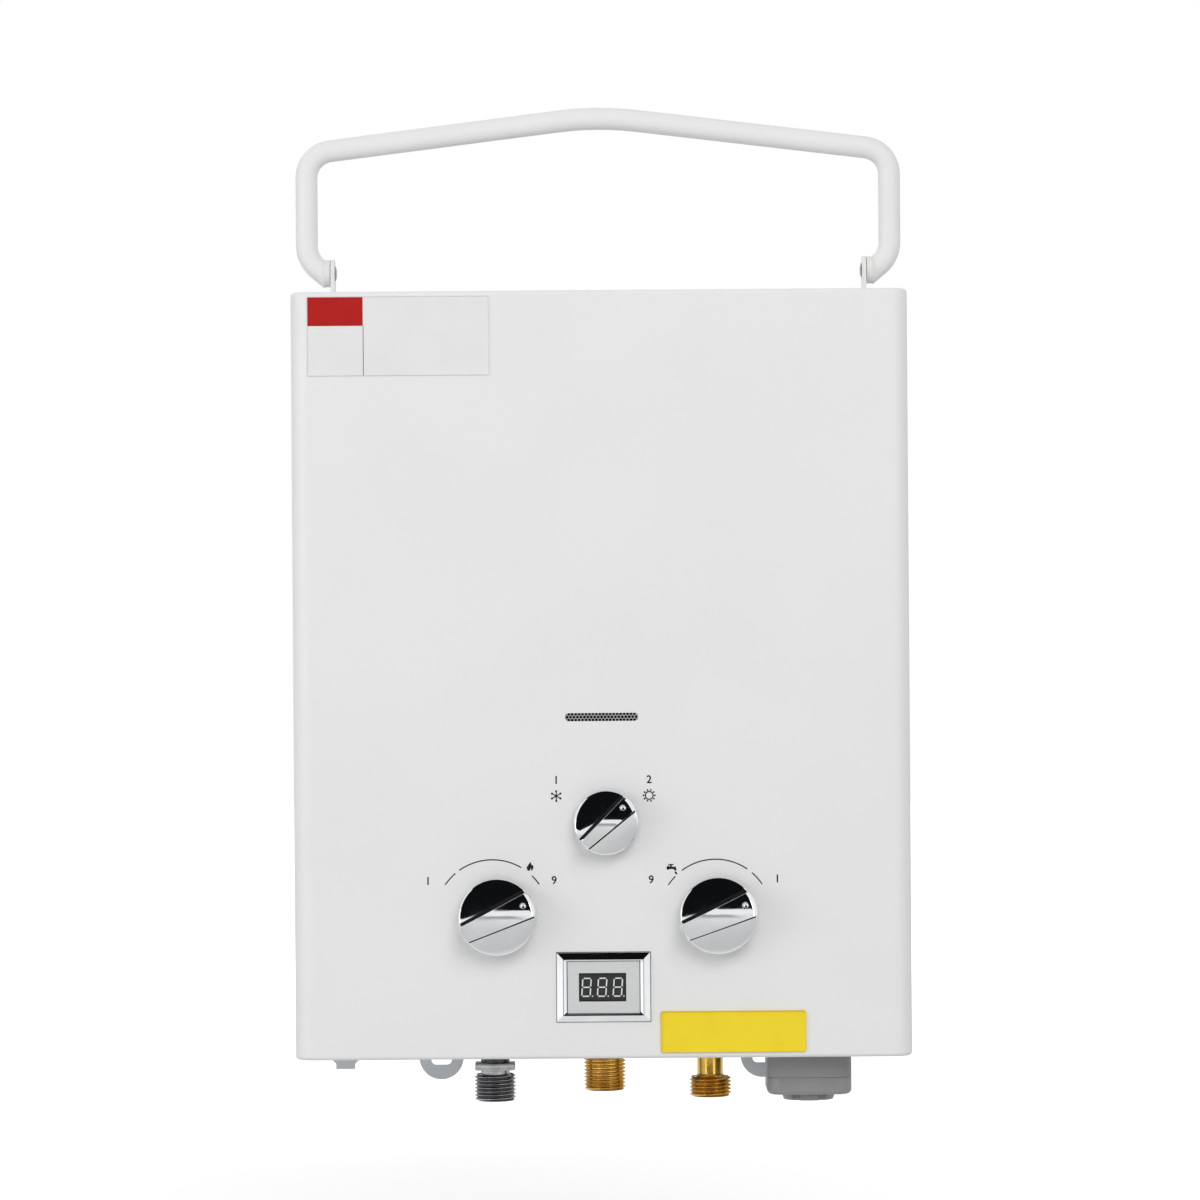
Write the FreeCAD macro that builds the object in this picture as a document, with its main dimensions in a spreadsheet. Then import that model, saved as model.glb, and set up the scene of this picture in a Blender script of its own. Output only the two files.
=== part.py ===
import FreeCAD, Part
import math
import os
import re
import Sketcher

# A portable instantaneous water heater that burns bottled propane.  A bent steel case hangs on
# one wall screw by the keyhole in its back plate, and a folding handle carries it.  Cold water
# enters at the right port, passes the diaphragm valve, winds round the copper chamber, crosses
# the finned block and leaves hot at the middle port.  Gas enters at the left port.  The water's
# pressure pushes a rod that opens the gas and trips the switch which starts the spark.
#
# The document's frame: X to the right, Y into the wall, Z up, origin at the centre of the
# keyhole on the back face.  Heights in the sheet are measured up from the case's bottom edge.

Vector = FreeCAD.Vector

DIMENSIONS = {
    # the case, bent from steel sheet
    "case_width": 304, "case_height": 378, "case_depth": 100, "sheet_gauge": 1,
    "side_bend": 9, "edge_bend": 2, "front_lip": 14, "side_lip": 10, "fit_gap": 0.3, "hole_margin": 1,
    # the back plate with its keyhole, lower lugs and tab
    "hang_height": 340, "plate_gauge": 1.2, "flange_depth": 16, "keyhole_radius": 5.5,
    "keyhole_slot_radius": 2.75, "keyhole_rise": 12, "lug_spacing": 164, "lug_radius": 11.3,
    "lug_shift": 1, "lug_drop": 7.5, "lug_slot_drop": 8.8, "lug_slot_length": 10.4,
    "lug_slot_width": 5, "tab_place": 132, "tab_width": 9.7, "tab_drop": 13.2,
    "tab_root_drop": 10.6, "tab_root_flare": 3,
    # case screws
    "screw_radius": 2, "screw_head_radius": 4, "screw_head_height": 2.2, "screw_length": 6,
    "case_screw_inset": 8, "case_screw_low": 40, "case_screw_high": 338,
    # slots for the flue gas and for the burner's air
    "flue_slot_length": 52, "flue_slot_width": 5, "flue_slot_spread": 165, "flue_slot_place": 48,
    "flue_slot_count": 12,
    "air_slot_length": 40, "air_slot_width": 5, "air_slot_spread": 24, "air_slot_count": 3,
    "air_slots_left": 110, "air_slots_middle": 27, "air_slots_right": 28,
    # the sight slot over the flames
    "sight_height": 168, "sight_length": 36, "sight_width": 4, "mesh_length": 46,
    "mesh_width": 12, "mesh_gauge": 0.6,
    # the carrying handle, a bent rod on two ears
    "tube_radius": 5.5, "pivot_place": 133, "pivot_depth": 50, "pivot_height": 390,
    "handle_rise": 76.7, "leg_place": 146, "apex_radius": 150, "apex_flat": 1,
    "handle_slope": 7, "corner_radius": 13.5, "foot_bend_height": 7.1, "foot_bend_radius": 15,
    "foot_angle": 50, "foot_reach": 16, "tube_end_place": 137.4, "ear_gauge": 2,
    "ear_radius": 7, "ear_foot_length": 16, "pivot_pin_radius": 2.5, "pivot_play": 0.05,
    "pivot_pin_end": 140.4, "spacer_radius": 6.8,
    # control knobs
    "control_height": 70.5, "gas_place": 52, "water_place": 56.5, "season_place": 1.8,
    "season_height": 116.3, "knob_radius": 19, "knob_height": 19, "season_knob_radius": 16,
    "season_knob_height": 17, "knob_gap": 0.8, "knob_rim": 1.5, "grip_depth": 6.5,
    "knob_crown": 1.8, "scoop_crown": 2.5, "scoop_rim": 1,
    "gas_pointer_width": 11, "gas_tail_width": 6.7, "season_pointer_width": 7,
    "season_tail_width": 3.4, "dimple_radius": 1.9, "dimple_inset": 4.6, "dimple_depth": 0.7,
    "gas_pointer_angle": 24.5, "water_pointer_angle": 22.8, "season_pointer_angle": 42.5,
    "spindle_radius": 3, "spindle_play": 0.05, "spindle_grip": 7, "spindle_hole_radius": 4.5,
    "spindle_collar_near": 2, "spindle_collar_far": 4, "spindle_collar_radius": 4.5,
    "spindle_seat": 6,
    # the temperature display
    "display_height": 35.3, "bezel_width": 46, "bezel_tall": 34, "bezel_thick": 3.2,
    "bezel_edge": 0.8, "bezel_bevel": 4, "panel_width": 36, "panel_tall": 26, "panel_recess": 1.2,
    "panel_gap": 0.4, "window_gap": 0.2, "window_shift": 0.5, "window_corner": 1.5,
    "window_width": 23, "window_tall": 13.8, "board_width": 42, "board_tall": 31,
    "board_thick": 9,
    # the three threaded ports below the case
    "port_depth": 48, "gas_port": 54.6, "hot_port": 0.3, "cold_port": 53.1, "thread_radius": 10.4775,
    "port_hole_radius": 11.4, "port_collar_height": 3, "thread_chamfer": 1.2,
    "gas_thread_end": 25, "gas_thread_start": 11.7, "gas_hex_flats": 20, "gas_hex_low": 9.6,
    "gas_hex_high": 5.8, "gas_neck_radius": 7.2, "gas_bore_radius": 4,
    "hot_thread_end": 20, "hot_collar_radius": 12, "hot_collar_height": 4,
    "elbow_width": 24, "elbow_top": 24, "elbow_reach": 28, "water_bore_radius": 6.5,
    "cold_thread_end": 23.5, "cold_thread_start": 14.4, "cold_cone_start": 12.1,
    "cold_cone_low": 13.6, "cold_cone_swell": 1.1, "cold_neck_radius": 6.4,
    "cold_collar_radius": 9.5, "cold_bore_radius": 5,
    # the gas valve
    "valve_depth": 32, "gas_valve_left": 26, "gas_valve_right": 24, "gas_valve_low": 18.5,
    "gas_valve_high": 21.5, "bonnet_radius": 10, "bonnet_length": 10, "boss_radius": 10,
    "boss_length": 5.5, "cast_radius": 4, "seat_radius": 7, "seat_depth": 20,
    "solenoid_radius": 11, "solenoid_length": 24, "solenoid_rise": 4, "plunger_radius": 4,
    "plunger_length": 14, "plunger_play": 0.08,
    # the water valve and the rod that it pushes
    "water_valve_left": 18, "water_valve_right": 20, "water_valve_low": 16,
    "water_valve_high": 19.5, "diaphragm_radius": 31, "diaphragm_flange": 8.5,
    "diaphragm_gauge": 1.2, "cover_thick": 8.8, "cover_cavity_radius": 22,
    "cover_cavity_depth": 6.3, "neck_radius": 6.5, "neck_length": 6, "rod_radius": 2.5,
    "rod_play": 0.05, "rod_travel": 3, "plate_radius": 18, "plate_thick": 2, "plate_clear": 0.8,
    "collar_radius": 6, "collar_thick": 3, "collar_place": 1, "poppet_radius": 5.6,
    "poppet_thick": 4, "poppet_place": 34,
    # the switch that the rod trips
    "switch_length": 20, "switch_tall": 9.8, "switch_thick": 6.4, "switch_rise": 14.7,
    "lever_pin_radius": 0.9, "lever_gauge": 0.6, "lever_width": 3.2, "lever_length": 10,
    "lever_pin_rise": 13.5, "bracket_gauge": 1.2, "switch_nose": 4,
    "switch_lug_gauge": 1.4, "switch_lug_reach": 2,
    # burner
    "burner_width": 156, "burner_front": 78, "burner_back": 14, "burner_low": 118,
    "burner_high": 150, "bar_count": 6, "bar_pitch": 22, "bar_thick": 11, "bar_throat": 7,
    "jet_height": 121, "jet_radius": 3, "riser_width": 18, "riser_foot": 12,
    "riser_head": 8, "riser_foot_shift": 8, "frame_foot_width": 16, "frame_foot_inset": 14,
    "bar_throat_length": 20, "bar_belly_rise": 10, "bar_gap": 1, "bar_top_gap": 2,
    "bar_nose_drop": 12, "bar_notch_depth": 14, "bar_notch_drop": 18, "bar_mouth_rise": 5,
    "bar_slot_width": 2.5, "bar_slot_inset": 4, "bar_slot_spread": 52, "bar_slot_count": 9,
    "bar_slot_depth": 4, "bar_slot_margin": 1.5, "manifold_front": 94, "manifold_thick": 10,
    "manifold_half": 66, "manifold_low": 108, "manifold_high": 126,
    # the spark electrode and the flame sensor
    "terminal_tip": 1.2, "ceramic_radius": 3.4, "ceramic_low": 3, "ceramic_high": 27,
    "clip_radius": 5.5, "clip_low": 13, "clip_high": 17, "wire_radius": 0.8,
    "electrode_length": 40,
    # copper heat exchanger
    "chamber_width": 156, "chamber_front": 80, "chamber_back": 16, "chamber_low": 150,
    "chamber_high": 290, "chamber_gauge": 1, "chamber_bend": 10, "coil_radius": 5,
    "coil_turns": 2, "coil_low": 176, "coil_pitch": 44, "coil_bend": 14, "coil_side": 83.05,
    "coil_stub": 16, "coil_riser_place": 91, "coil_elbow": 8, "pass_start": 79,
    "fin_count": 10, "fin_gauge": 0.8, "fin_low": 290, "fin_high": 326, "pass_height": 309,
    "pass_pitch": 18, "pass_overrun": 88,
    "pipe_radius": 5, "hot_pipe_bend": 14, "cold_pipe_bend": 10, "hot_pipe_depth": 30,
    "cold_pipe_depth": 24, "cold_pipe_shift": 9.5, "cold_pipe_low": 96, "cold_pipe_high": 111.5,
    "hot_pipe_place": 104, "hot_pipe_crossing": 104,
    "hood_top_width": 196, "hood_top_front": 82, "hood_top_back": 14,
    # the overheat thermostat
    "thermostat_flange": 9, "thermostat_gauge": 1.2, "thermostat_radius": 7.5,
    "thermostat_thick": 7, "thermostat_stem": 3, "thermostat_reach": 12, "thermostat_rise": 8,
    # the battery compartment
    "battery_place": 101.8, "battery_depth": 60, "battery_width": 42, "battery_deep": 41,
    "battery_corner": 7.5, "battery_top": 118, "battery_seam": 11.9, "battery_bottom": 20.5,
    "battery_edge": 2.6, "cell_radius": 16.6, "cell_length": 61, "cell_bay_radius": 17.2,
    "collar_hole_radius": 17.6, "cap_radius": 17.3, "grip_radius": 13.4, "grip_bottom": 24,
    "grip_notch_radius": 2.2,
    "grip_notches": 6, "grip_taper": 1, "cap_clear": 0.8, "cap_lip": 0.5, "rim_flange": 4,
    "housing_roof": 3, "terminal_radius": 4.5, "terminal_height": 1.6,
    # the spark controller
    "controller_place": 129, "controller_width": 32, "controller_tall": 66,
    "controller_low": 26, "controller_deep": 40, "socket_inset": 4, "socket_width": 4,
    "socket_length": 12, "socket_depth": 6, "socket_count": 4,
}

doc = FreeCAD.newDocument("propane_water_heater")
sheet = doc.addObject("Spreadsheet::Sheet", "Sheet")
for row, (alias, number) in enumerate(DIMENSIONS.items(), 1):
    sheet.set(f"A{row}", alias)
    sheet.set(f"B{row}", str(number))
    sheet.setAlias(f"B{row}", alias)
doc.recompute()

pieces = []


# ---------------------------------------------------------------- working with the sheet

def linked(expression):
    """The expression as an object outside the sheet has to write it."""
    return re.sub(r"[a-z][a-z_]*",
                  lambda word: "Sheet." + word[0] if word[0] in DIMENSIONS else word[0],
                  str(expression))


def value(expression):
    """The number that an expression of sheet names gives now."""
    return float(sheet.evalExpression(str(expression)))


def new_body(label):
    body = doc.addObject("PartDesign::Body", label)
    body.Label = label
    pieces.append(body)
    return body


def place(thing, x="0", y="0", z="0", axis=None, angle="0"):
    """Puts a piece at x, y and a height above the case's bottom edge, turned about an axis."""
    if axis:
        thing.Placement = FreeCAD.Placement(Vector(), FreeCAD.Rotation(Vector(*axis), value(angle)))
        thing.setExpression("Placement.Rotation.Angle", linked(angle))
    thing.setExpression("Placement.Base.x", linked(x))
    thing.setExpression("Placement.Base.y", linked(y))
    thing.setExpression("Placement.Base.z", linked(f"{z} - hang_height"))


# ---------------------------------------------------------------- sketches

def origin_part(body, role):
    return next(part for part in body.Origin.OriginFeatures if part.Role == role)


def sketch(body, plane, lift="0"):
    """An empty sketch on an origin plane, lifted along the plane's normal.

    The normals are +Z for XY_Plane, -Y for XZ_Plane and +X for YZ_Plane.
    """
    made = body.newObject("Sketcher::SketchObject", body.Name + "_sketch")
    made.AttachmentSupport = [(origin_part(body, plane), "")]
    made.MapMode = "FlatFace"
    made.setExpression("AttachmentOffset.Base.z", linked(lift))
    return made


def constrain(made, kind, *parts, size=None):
    """Adds a constraint and ties its size to the sheet."""
    if size is None:
        made.addConstraint(Sketcher.Constraint(kind, *parts))
        return
    index = made.addConstraint(Sketcher.Constraint(kind, *parts, value(size)))
    made.setExpression(f"Constraints[{index}]", linked(size))


def fix_point(made, line, end, x, y):
    constrain(made, "DistanceX", -1, 1, line, end, size=x)
    constrain(made, "DistanceY", -1, 1, line, end, size=y)


def crown(start, end, radius):
    """An arc from one point to another that swells to the right of the way there."""
    half = (end - start) * 0.5
    left = Vector(-half.y, half.x, 0).normalize()
    centre = start + half + left * math.sqrt(radius ** 2 - half.Length ** 2)
    return Part.Arc(start, centre - left * radius, end)


def outline(made, points, crowned=None, radius=None):
    """A closed outline through points given as pairs of expressions.

    Its sides are straight, apart from the one after the point numbered crowned, an arc.
    """
    first = made.GeometryCount
    corners = [Vector(value(x), value(y), 0) for x, y in points]
    for number, (start, end) in enumerate(zip(corners, corners[1:] + corners[:1])):
        side = Part.LineSegment(start, end)
        if number == crowned:
            side = crown(start, end, value(radius))
        made.addGeometry(side, False)
    for number in range(len(points)):
        following = first + (number + 1) % len(points)
        constrain(made, "Coincident", first + number, 2, following, 1)
    for number, (x, y) in enumerate(points):
        fix_point(made, first + number, 1, x, y)
    if crowned is not None:
        constrain(made, "Radius", first + crowned, size=radius)
    return made


def rectangle(made, left, low, right, high):
    return outline(made, [(left, low), (right, low), (right, high), (left, high)])


def centred(made, width, tall, x="0", y="0"):
    return rectangle(made, f"{x} - {width} / 2", f"{y} - {tall} / 2",
                     f"{x} + {width} / 2", f"{y} + {tall} / 2")


def circle(made, radius, x="0", y="0"):
    number = made.GeometryCount
    centre = Vector(value(x), value(y), 0)
    made.addGeometry(Part.Circle(centre, Vector(0, 0, 1), value(radius)), False)
    constrain(made, "Radius", number, size=radius)
    fix_point(made, number, 3, x, y)
    return made


def obround(made, length, width, x="0", y="0", upright=False):
    """A slot with round ends, lying along the sketch's first axis or standing along its second."""
    number = made.GeometryCount
    half = f"({length} - {width}) / 2"
    ends = [(f"{x} + {half}", y), (f"{x} - {half}", y)]
    if upright:
        ends = [(x, f"{y} + {half}"), (x, f"{y} - {half}")]
    turn = 90 if upright else 0
    radius = value(f"{width} / 2")
    right, left = [Vector(value(a), value(b), 0) for a, b in ends]
    side = FreeCAD.Rotation(Vector(0, 0, 1), turn).multVec(Vector(0, radius, 0))
    for centre, opening in ((right, turn - 90), (left, turn + 90)):
        ring = Part.Circle(centre, Vector(0, 0, 1), radius)
        arc = Part.ArcOfCircle(ring, math.radians(opening), math.radians(opening + 180))
        made.addGeometry(arc, False)
    made.addGeometry(Part.LineSegment(right + side, left + side), False)
    made.addGeometry(Part.LineSegment(left - side, right - side), False)
    constrain(made, "Tangent", number, 2, number + 2, 1)
    constrain(made, "Tangent", number + 2, 2, number + 1, 1)
    constrain(made, "Tangent", number + 1, 2, number + 3, 1)
    constrain(made, "Tangent", number + 3, 2, number, 1)
    for arc, (across, up) in zip((number, number + 1), ends):
        fix_point(made, arc, 3, across, up)
    constrain(made, "Radius", number, size=f"{width} / 2")
    return made


def route(made, corners, radii):
    """An open centre line: straight runs through the corners, rounded by tangent arcs."""
    points = [Vector(value(x), value(y), 0) for x, y in corners]
    start = points[0]
    path = []
    for before, corner, after, radius in zip(points, points[1:], points[2:], radii):
        into = (corner - before).normalize()
        out = (after - corner).normalize()
        bend = into.getAngle(out)
        reach = value(radius) * abs(math.tan(bend / 2))
        left_turn = into.cross(out).z > 0
        normal = Vector(-into.y, into.x, 0) * (1 if left_turn else -1)
        entry = corner - into * reach
        leave = corner + out * reach
        centre = entry + normal * value(radius)
        middle = centre + (corner - centre).normalize() * value(radius)
        path.append((Part.LineSegment(start, entry), None))
        path.append((Part.Arc(entry, middle, leave), left_turn))
        start = leave
    path.append((Part.LineSegment(start, points[-1]), None))
    for curve, _ in path:
        made.addGeometry(curve, False)
    for number in range(1, len(path), 2):
        enter, leave = (1, 2) if path[number][1] else (2, 1)
        constrain(made, "Tangent", number - 1, 2, number, enter)
        constrain(made, "Tangent", number, leave, number + 1, 1)
        constrain(made, "Radius", number, size=radii[number // 2])
    for number, (x, y) in enumerate(corners[1:-1]):
        mark = made.addGeometry(Part.Point(points[number + 1]), True)
        fix_point(made, mark, 1, x, y)
        constrain(made, "PointOnObject", mark, 1, 2 * number)
        constrain(made, "PointOnObject", mark, 1, 2 * number + 2)
    fix_point(made, 0, 1, *corners[0])
    fix_point(made, len(path) - 1, 2, *corners[-1])
    return made


# ---------------------------------------------------------------- features

def feature(body, kind):
    made = body.newObject("PartDesign::" + kind, f"{body.Name}_{kind}")
    body.Tip = made
    return made


def pad(body, profile, length, both_ways=False, backwards=False):
    made = feature(body, "Pad")
    made.Profile = profile
    made.setExpression("Length", linked(length))
    made.SideType = "Symmetric" if both_ways else "One side"
    made.Reversed = backwards
    return made


def pocket(body, profile, length=None, both_ways=False, backwards=False):
    """Cuts against the sketch's normal, or along it when backwards; no length cuts through."""
    made = feature(body, "Pocket")
    made.Profile = profile
    made.Type = "Length" if length else "ThroughAll"
    if length:
        made.setExpression("Length", linked(length))
    made.SideType = "Symmetric" if both_ways else "One side"
    made.Reversed = backwards
    return made


def revolve(body, profile, axis="V_Axis"):
    made = feature(body, "Revolution")
    made.Profile = profile
    made.ReferenceAxis = (profile, [axis])
    made.Angle = 360
    return made


def sweep(body, profile, spine):
    made = feature(body, "AdditivePipe")
    made.Profile = profile
    runs = sum(1 for number in range(spine.GeometryCount) if not spine.getConstruction(number))
    made.Spine = (spine, [f"Edge{number + 1}" for number in range(runs)])
    return made


def loft(body, first, *others):
    made = feature(body, "AdditiveLoft")
    made.Profile = first
    made.Sections = [(other, [""]) for other in others]
    return made


def chosen(shape_parts, name, wanted):
    return [f"{name}{number + 1}" for number, part in enumerate(shape_parts) if wanted(part)]


def dress_edges(body, kind, size, wanted):
    """A fillet or chamfer on the edges that a test picks."""
    doc.recompute()
    base = body.Tip
    edges = chosen(base.Shape.Edges, "Edge", wanted)
    made = feature(body, kind)
    made.Base = (base, edges)
    made.setExpression("Radius" if kind == "Fillet" else "Size", linked(size))
    return made


def row_of(body, original, axis, spread, count):
    """Repeats a feature along an origin axis of the body."""
    made = feature(body, "LinearPattern")
    made.Originals = [original]
    made.Direction = (origin_part(body, axis), [""])
    made.setExpression("Length", linked(spread))
    made.setExpression("Occurrences", linked(count))
    body.Tip = made
    return made


def ring_of(body, original, axis, count):
    made = feature(body, "PolarPattern")
    made.Originals = [original]
    made.Axis = (origin_part(body, axis), [""])
    made.Angle = 360
    made.setExpression("Occurrences", linked(count))
    body.Tip = made
    return made


def lies_at(part, direction, position):
    """True where an edge or face lies in the plane across a direction at a position."""
    box = part.BoundBox
    low = getattr(box, direction + "Min")
    high = getattr(box, direction + "Max")
    return abs(low - position) < 0.01 and abs(high - position) < 0.01


def runs_along(edge, direction):
    """True where a straight edge is parallel to a direction."""
    box = edge.BoundBox
    length = getattr(box, direction + "Length")
    return length > 0.1 and abs(edge.Length - length) < 0.001


# ---------------------------------------------------------------- the case

def front_cover():
    """One bent shell: front, two sides, and narrow lips folded in at the top and bottom."""
    body = new_body("front_cover")
    height = value("case_height")
    depth = value("case_depth")
    pad(body, rectangle(sketch(body, "XZ_Plane"), "-case_width / 2", "0",
                        "case_width / 2", "case_height"), "case_depth")
    dress_edges(body, "Fillet", "side_bend",
                lambda edge: lies_at(edge, "Y", -depth) and runs_along(edge, "Z"))
    dress_edges(body, "Fillet", "edge_bend",
                lambda edge: (lies_at(edge, "Z", 0) or lies_at(edge, "Z", height))
                and not lies_at(edge, "Y", 0))
    doc.recompute()
    solid = body.Tip
    shell = feature(body, "Thickness")
    shell.Base = (solid, chosen(solid.Shape.Faces, "Face", lambda face: lies_at(face, "Y", 0)))
    shell.setExpression("Value", linked("sheet_gauge"))
    shell.Reversed = True
    ends = sketch(body, "XY_Plane", "case_height + 1")
    rectangle(ends, "-case_width / 2 + side_lip", "front_lip - case_depth",
              "case_width / 2 - side_lip", "1")
    pocket(body, ends)
    openings = sketch(body, "XZ_Plane")
    obround(openings, "sight_length", "sight_width", "0", "sight_height")
    centred(openings, "(panel_width + hole_margin)", "(panel_tall + hole_margin)", "0",
            "display_height")
    circle(openings, "spindle_hole_radius", "-gas_place", "control_height")
    circle(openings, "spindle_hole_radius", "water_place", "control_height")
    circle(openings, "spindle_hole_radius", "season_place", "season_height")
    pocket(body, openings, backwards=True)
    screws = sketch(body, "YZ_Plane")
    for height_name in ("case_screw_low", "case_screw_high"):
        circle(screws, "screw_radius", "-case_screw_inset", height_name)
    pocket(body, screws, both_ways=True)
    place(body)


def back_plate():
    """Zinc-plated plate with folded sides, a keyhole, two slotted lugs and a corner tab."""
    body = new_body("back_plate")
    half = "(case_width / 2 - sheet_gauge - fit_gap)"
    low = "(sheet_gauge + fit_gap)"
    folded = sketch(body, "XY_Plane", low)
    outline(folded, [(f"-{half}", "0"), (half, "0"), (half, "-flange_depth"),
                     (f"{half} - plate_gauge", "-flange_depth"),
                     (f"{half} - plate_gauge", "-plate_gauge"),
                     (f"-{half} + plate_gauge", "-plate_gauge"),
                     (f"-{half} + plate_gauge", "-flange_depth"), (f"-{half}", "-flange_depth")])
    pad(body, folded, f"case_height - 2 * {low}")
    dress_edges(body, "Fillet", "edge_bend",
                lambda edge: runs_along(edge, "Z") and lies_at(edge, "Y", 0))
    lugs = ("-lug_spacing / 2 - lug_shift", "lug_spacing / 2 - lug_shift")
    for side in lugs:
        neck = sketch(body, "XZ_Plane")
        rectangle(neck, f"{side} - lug_radius", "-lug_drop", f"{side} + lug_radius", f"{low} + 2")
        pad(body, neck, "plate_gauge")
        pad(body, circle(sketch(body, "XZ_Plane"), "lug_radius", side, "-lug_drop"), "plate_gauge")
    tab = sketch(body, "XZ_Plane")
    outline(tab, [("-tab_place - tab_width / 2", "-tab_drop"),
                  ("-tab_place + tab_width / 2", "-tab_drop"),
                  ("-tab_place + tab_width / 2", "-tab_root_drop"),
                  ("-tab_place + tab_width / 2 + tab_root_flare", "-tab_root_drop + tab_root_flare"),
                  ("-tab_place + tab_width / 2 + tab_root_flare", f"{low} + 2"),
                  ("-tab_place - tab_width / 2 - tab_root_flare", f"{low} + 2"),
                  ("-tab_place - tab_width / 2 - tab_root_flare", "-tab_root_drop + tab_root_flare"),
                  ("-tab_place - tab_width / 2", "-tab_root_drop")])
    pad(body, tab, "plate_gauge")
    pocket(body, circle(sketch(body, "XZ_Plane"), "keyhole_radius", "0", "hang_height"),
           backwards=True)
    rise = sketch(body, "XZ_Plane")
    obround(rise, "keyhole_rise", "keyhole_slot_radius * 2", "0",
            "hang_height + keyhole_radius", upright=True)
    pocket(body, rise, backwards=True)
    slots = sketch(body, "XZ_Plane")
    for side in lugs:
        obround(slots, "lug_slot_length", "lug_slot_width", side, "-lug_slot_drop")
    pocket(body, slots, backwards=True)
    screws = sketch(body, "YZ_Plane")
    for height_name in ("case_screw_low", "case_screw_high"):
        circle(screws, "screw_radius", "-case_screw_inset", height_name)
    pocket(body, screws, both_ways=True)
    place(body)


def end_panel(label, lift):
    """A flat panel that closes the case's top or bottom, just inside the cover's lips."""
    body = new_body(label)
    blank = sketch(body, "XY_Plane", lift)
    half = "(case_width / 2 - sheet_gauge - fit_gap - plate_gauge)"
    rectangle(blank, f"-{half}", "-case_depth + edge_bend + fit_gap", half, "-plate_gauge")
    pad(body, blank, "sheet_gauge")
    dress_edges(body, "Fillet", "side_bend",
                lambda edge: runs_along(edge, "Z") and edge.BoundBox.YMax < -50)
    return body


def top_panel():
    """The flue gas leaves through a row of slots in the top."""
    body = end_panel("top_panel", "case_height - 2 * sheet_gauge")
    slot = sketch(body, "XY_Plane", "case_height")
    obround(slot, "flue_slot_length", "flue_slot_width", "-flue_slot_spread / 2",
            "-flue_slot_place", upright=True)
    row_of(body, pocket(body, slot, "3 * sheet_gauge"), "X_Axis", "flue_slot_spread", "flue_slot_count")
    place(body)


def bottom_plate():
    """Holes for the ports and the battery box, and slots that let the burner's air in."""
    body = end_panel("bottom_plate", "sheet_gauge")
    holes = sketch(body, "XY_Plane", "case_height")
    for across in ("-gas_port", "hot_port", "cold_port"):
        circle(holes, "port_hole_radius", across, "-port_depth")
    centred(holes, "(battery_width + hole_margin)", "(battery_deep + hole_margin)",
            "battery_place", "-battery_depth")
    pocket(body, holes)
    for across in ("-air_slots_left", "-air_slots_middle", "air_slots_right"):
        slot = sketch(body, "XY_Plane", "case_height")
        obround(slot, "air_slot_length", "air_slot_width", f"{across} - air_slot_spread / 2",
                "-port_depth", upright=True)
        row_of(body, pocket(body, slot), "X_Axis", "air_slot_spread", "air_slot_count")
    place(body)


def sight_mesh():
    """Perforated steel strip behind the sight slot."""
    body = new_body("sight_mesh")
    strip = centred(sketch(body, "XZ_Plane"), "mesh_length", "mesh_width")
    pad(body, strip, "mesh_gauge", backwards=True)
    place(body, y="-case_depth + sheet_gauge", z="sight_height")


def cylinder(radius, length, x="0", y="0", z="0", axis=None, angle="0"):
    """A plain Part cylinder along Z, or turned, at a place measured from its group's origin."""
    made = doc.addObject("Part::Cylinder", "Cylinder")
    made.setExpression("Radius", linked(radius))
    made.setExpression("Height", linked(length))
    if axis:
        made.Placement = FreeCAD.Placement(Vector(), FreeCAD.Rotation(Vector(*axis), value(angle)))
    for direction, distance in zip("xyz", (x, y, z)):
        made.setExpression(f"Placement.Base.{direction}", linked(distance))
    return made


def fused(*shapes):
    made = doc.addObject("Part::MultiFuse", "Joined")
    made.Shapes = list(shapes)
    return made


def group(label, members):
    """Like pieces of one node: a group of separate solids."""
    made = doc.addObject("Part::Compound", label)
    made.Label = label
    made.Links = list(members)
    pieces.append(made)
    return made


def case_screws():
    """Four pan-head screws hold the cover's sides to the back plate's folded edges."""
    screws = []
    for side, turn in ((1, "-90"), (-1, "90")):
        for height_name in ("case_screw_low", "case_screw_high"):
            head = cylinder("screw_head_radius", "screw_head_height",
                            f"{side} * (case_width / 2 + screw_head_height)",
                            "-case_screw_inset", height_name, (0, 1, 0), turn)
            shank = cylinder("screw_radius", "screw_length", f"{side} * case_width / 2",
                             "-case_screw_inset", height_name, (0, 1, 0), turn)
            screws.append(fused(head, shank))
    place(group("case_screws", screws))


# ---------------------------------------------------------------- the handle

def carry_handle():
    """A rod bent to a shallow peak, square shoulders, and feet that turn in to the pivots."""
    body = new_body("carry_handle")
    peak_end = "(apex_flat + apex_radius * tan(handle_slope * 0.5 deg))"
    shoulder = f"(handle_rise - (leg_place - {peak_end}) * tan(handle_slope * 1 deg))"
    spine = sketch(body, "XZ_Plane")
    route(spine, [("0", "handle_rise"), (peak_end, "handle_rise"), ("leg_place", shoulder),
                  ("leg_place", "foot_bend_height"),
                  ("leg_place - foot_reach",
                   "foot_bend_height - foot_reach / tan(foot_angle * 1 deg)")],
          ["apex_radius", "corner_radius", "foot_bend_radius"])
    section = circle(sketch(body, "YZ_Plane"), "tube_radius", "0", "handle_rise")
    half = sweep(body, section, spine)
    doc.recompute()
    whole = feature(body, "Mirrored")
    whole.Originals = [half]
    whole.MirrorPlane = (origin_part(body, "YZ_Plane"), [""])
    body.Tip = whole
    trim = sketch(body, "XZ_Plane")
    centred(trim, "tube_end_place * 2", "foot_reach * 2 + 6")
    pocket(body, trim, both_ways=True)
    bore = circle(sketch(body, "YZ_Plane"), "pivot_pin_radius")
    pocket(body, bore, "2 * pivot_pin_end", both_ways=True)
    place(body, y="-pivot_depth", z="pivot_height")


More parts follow.
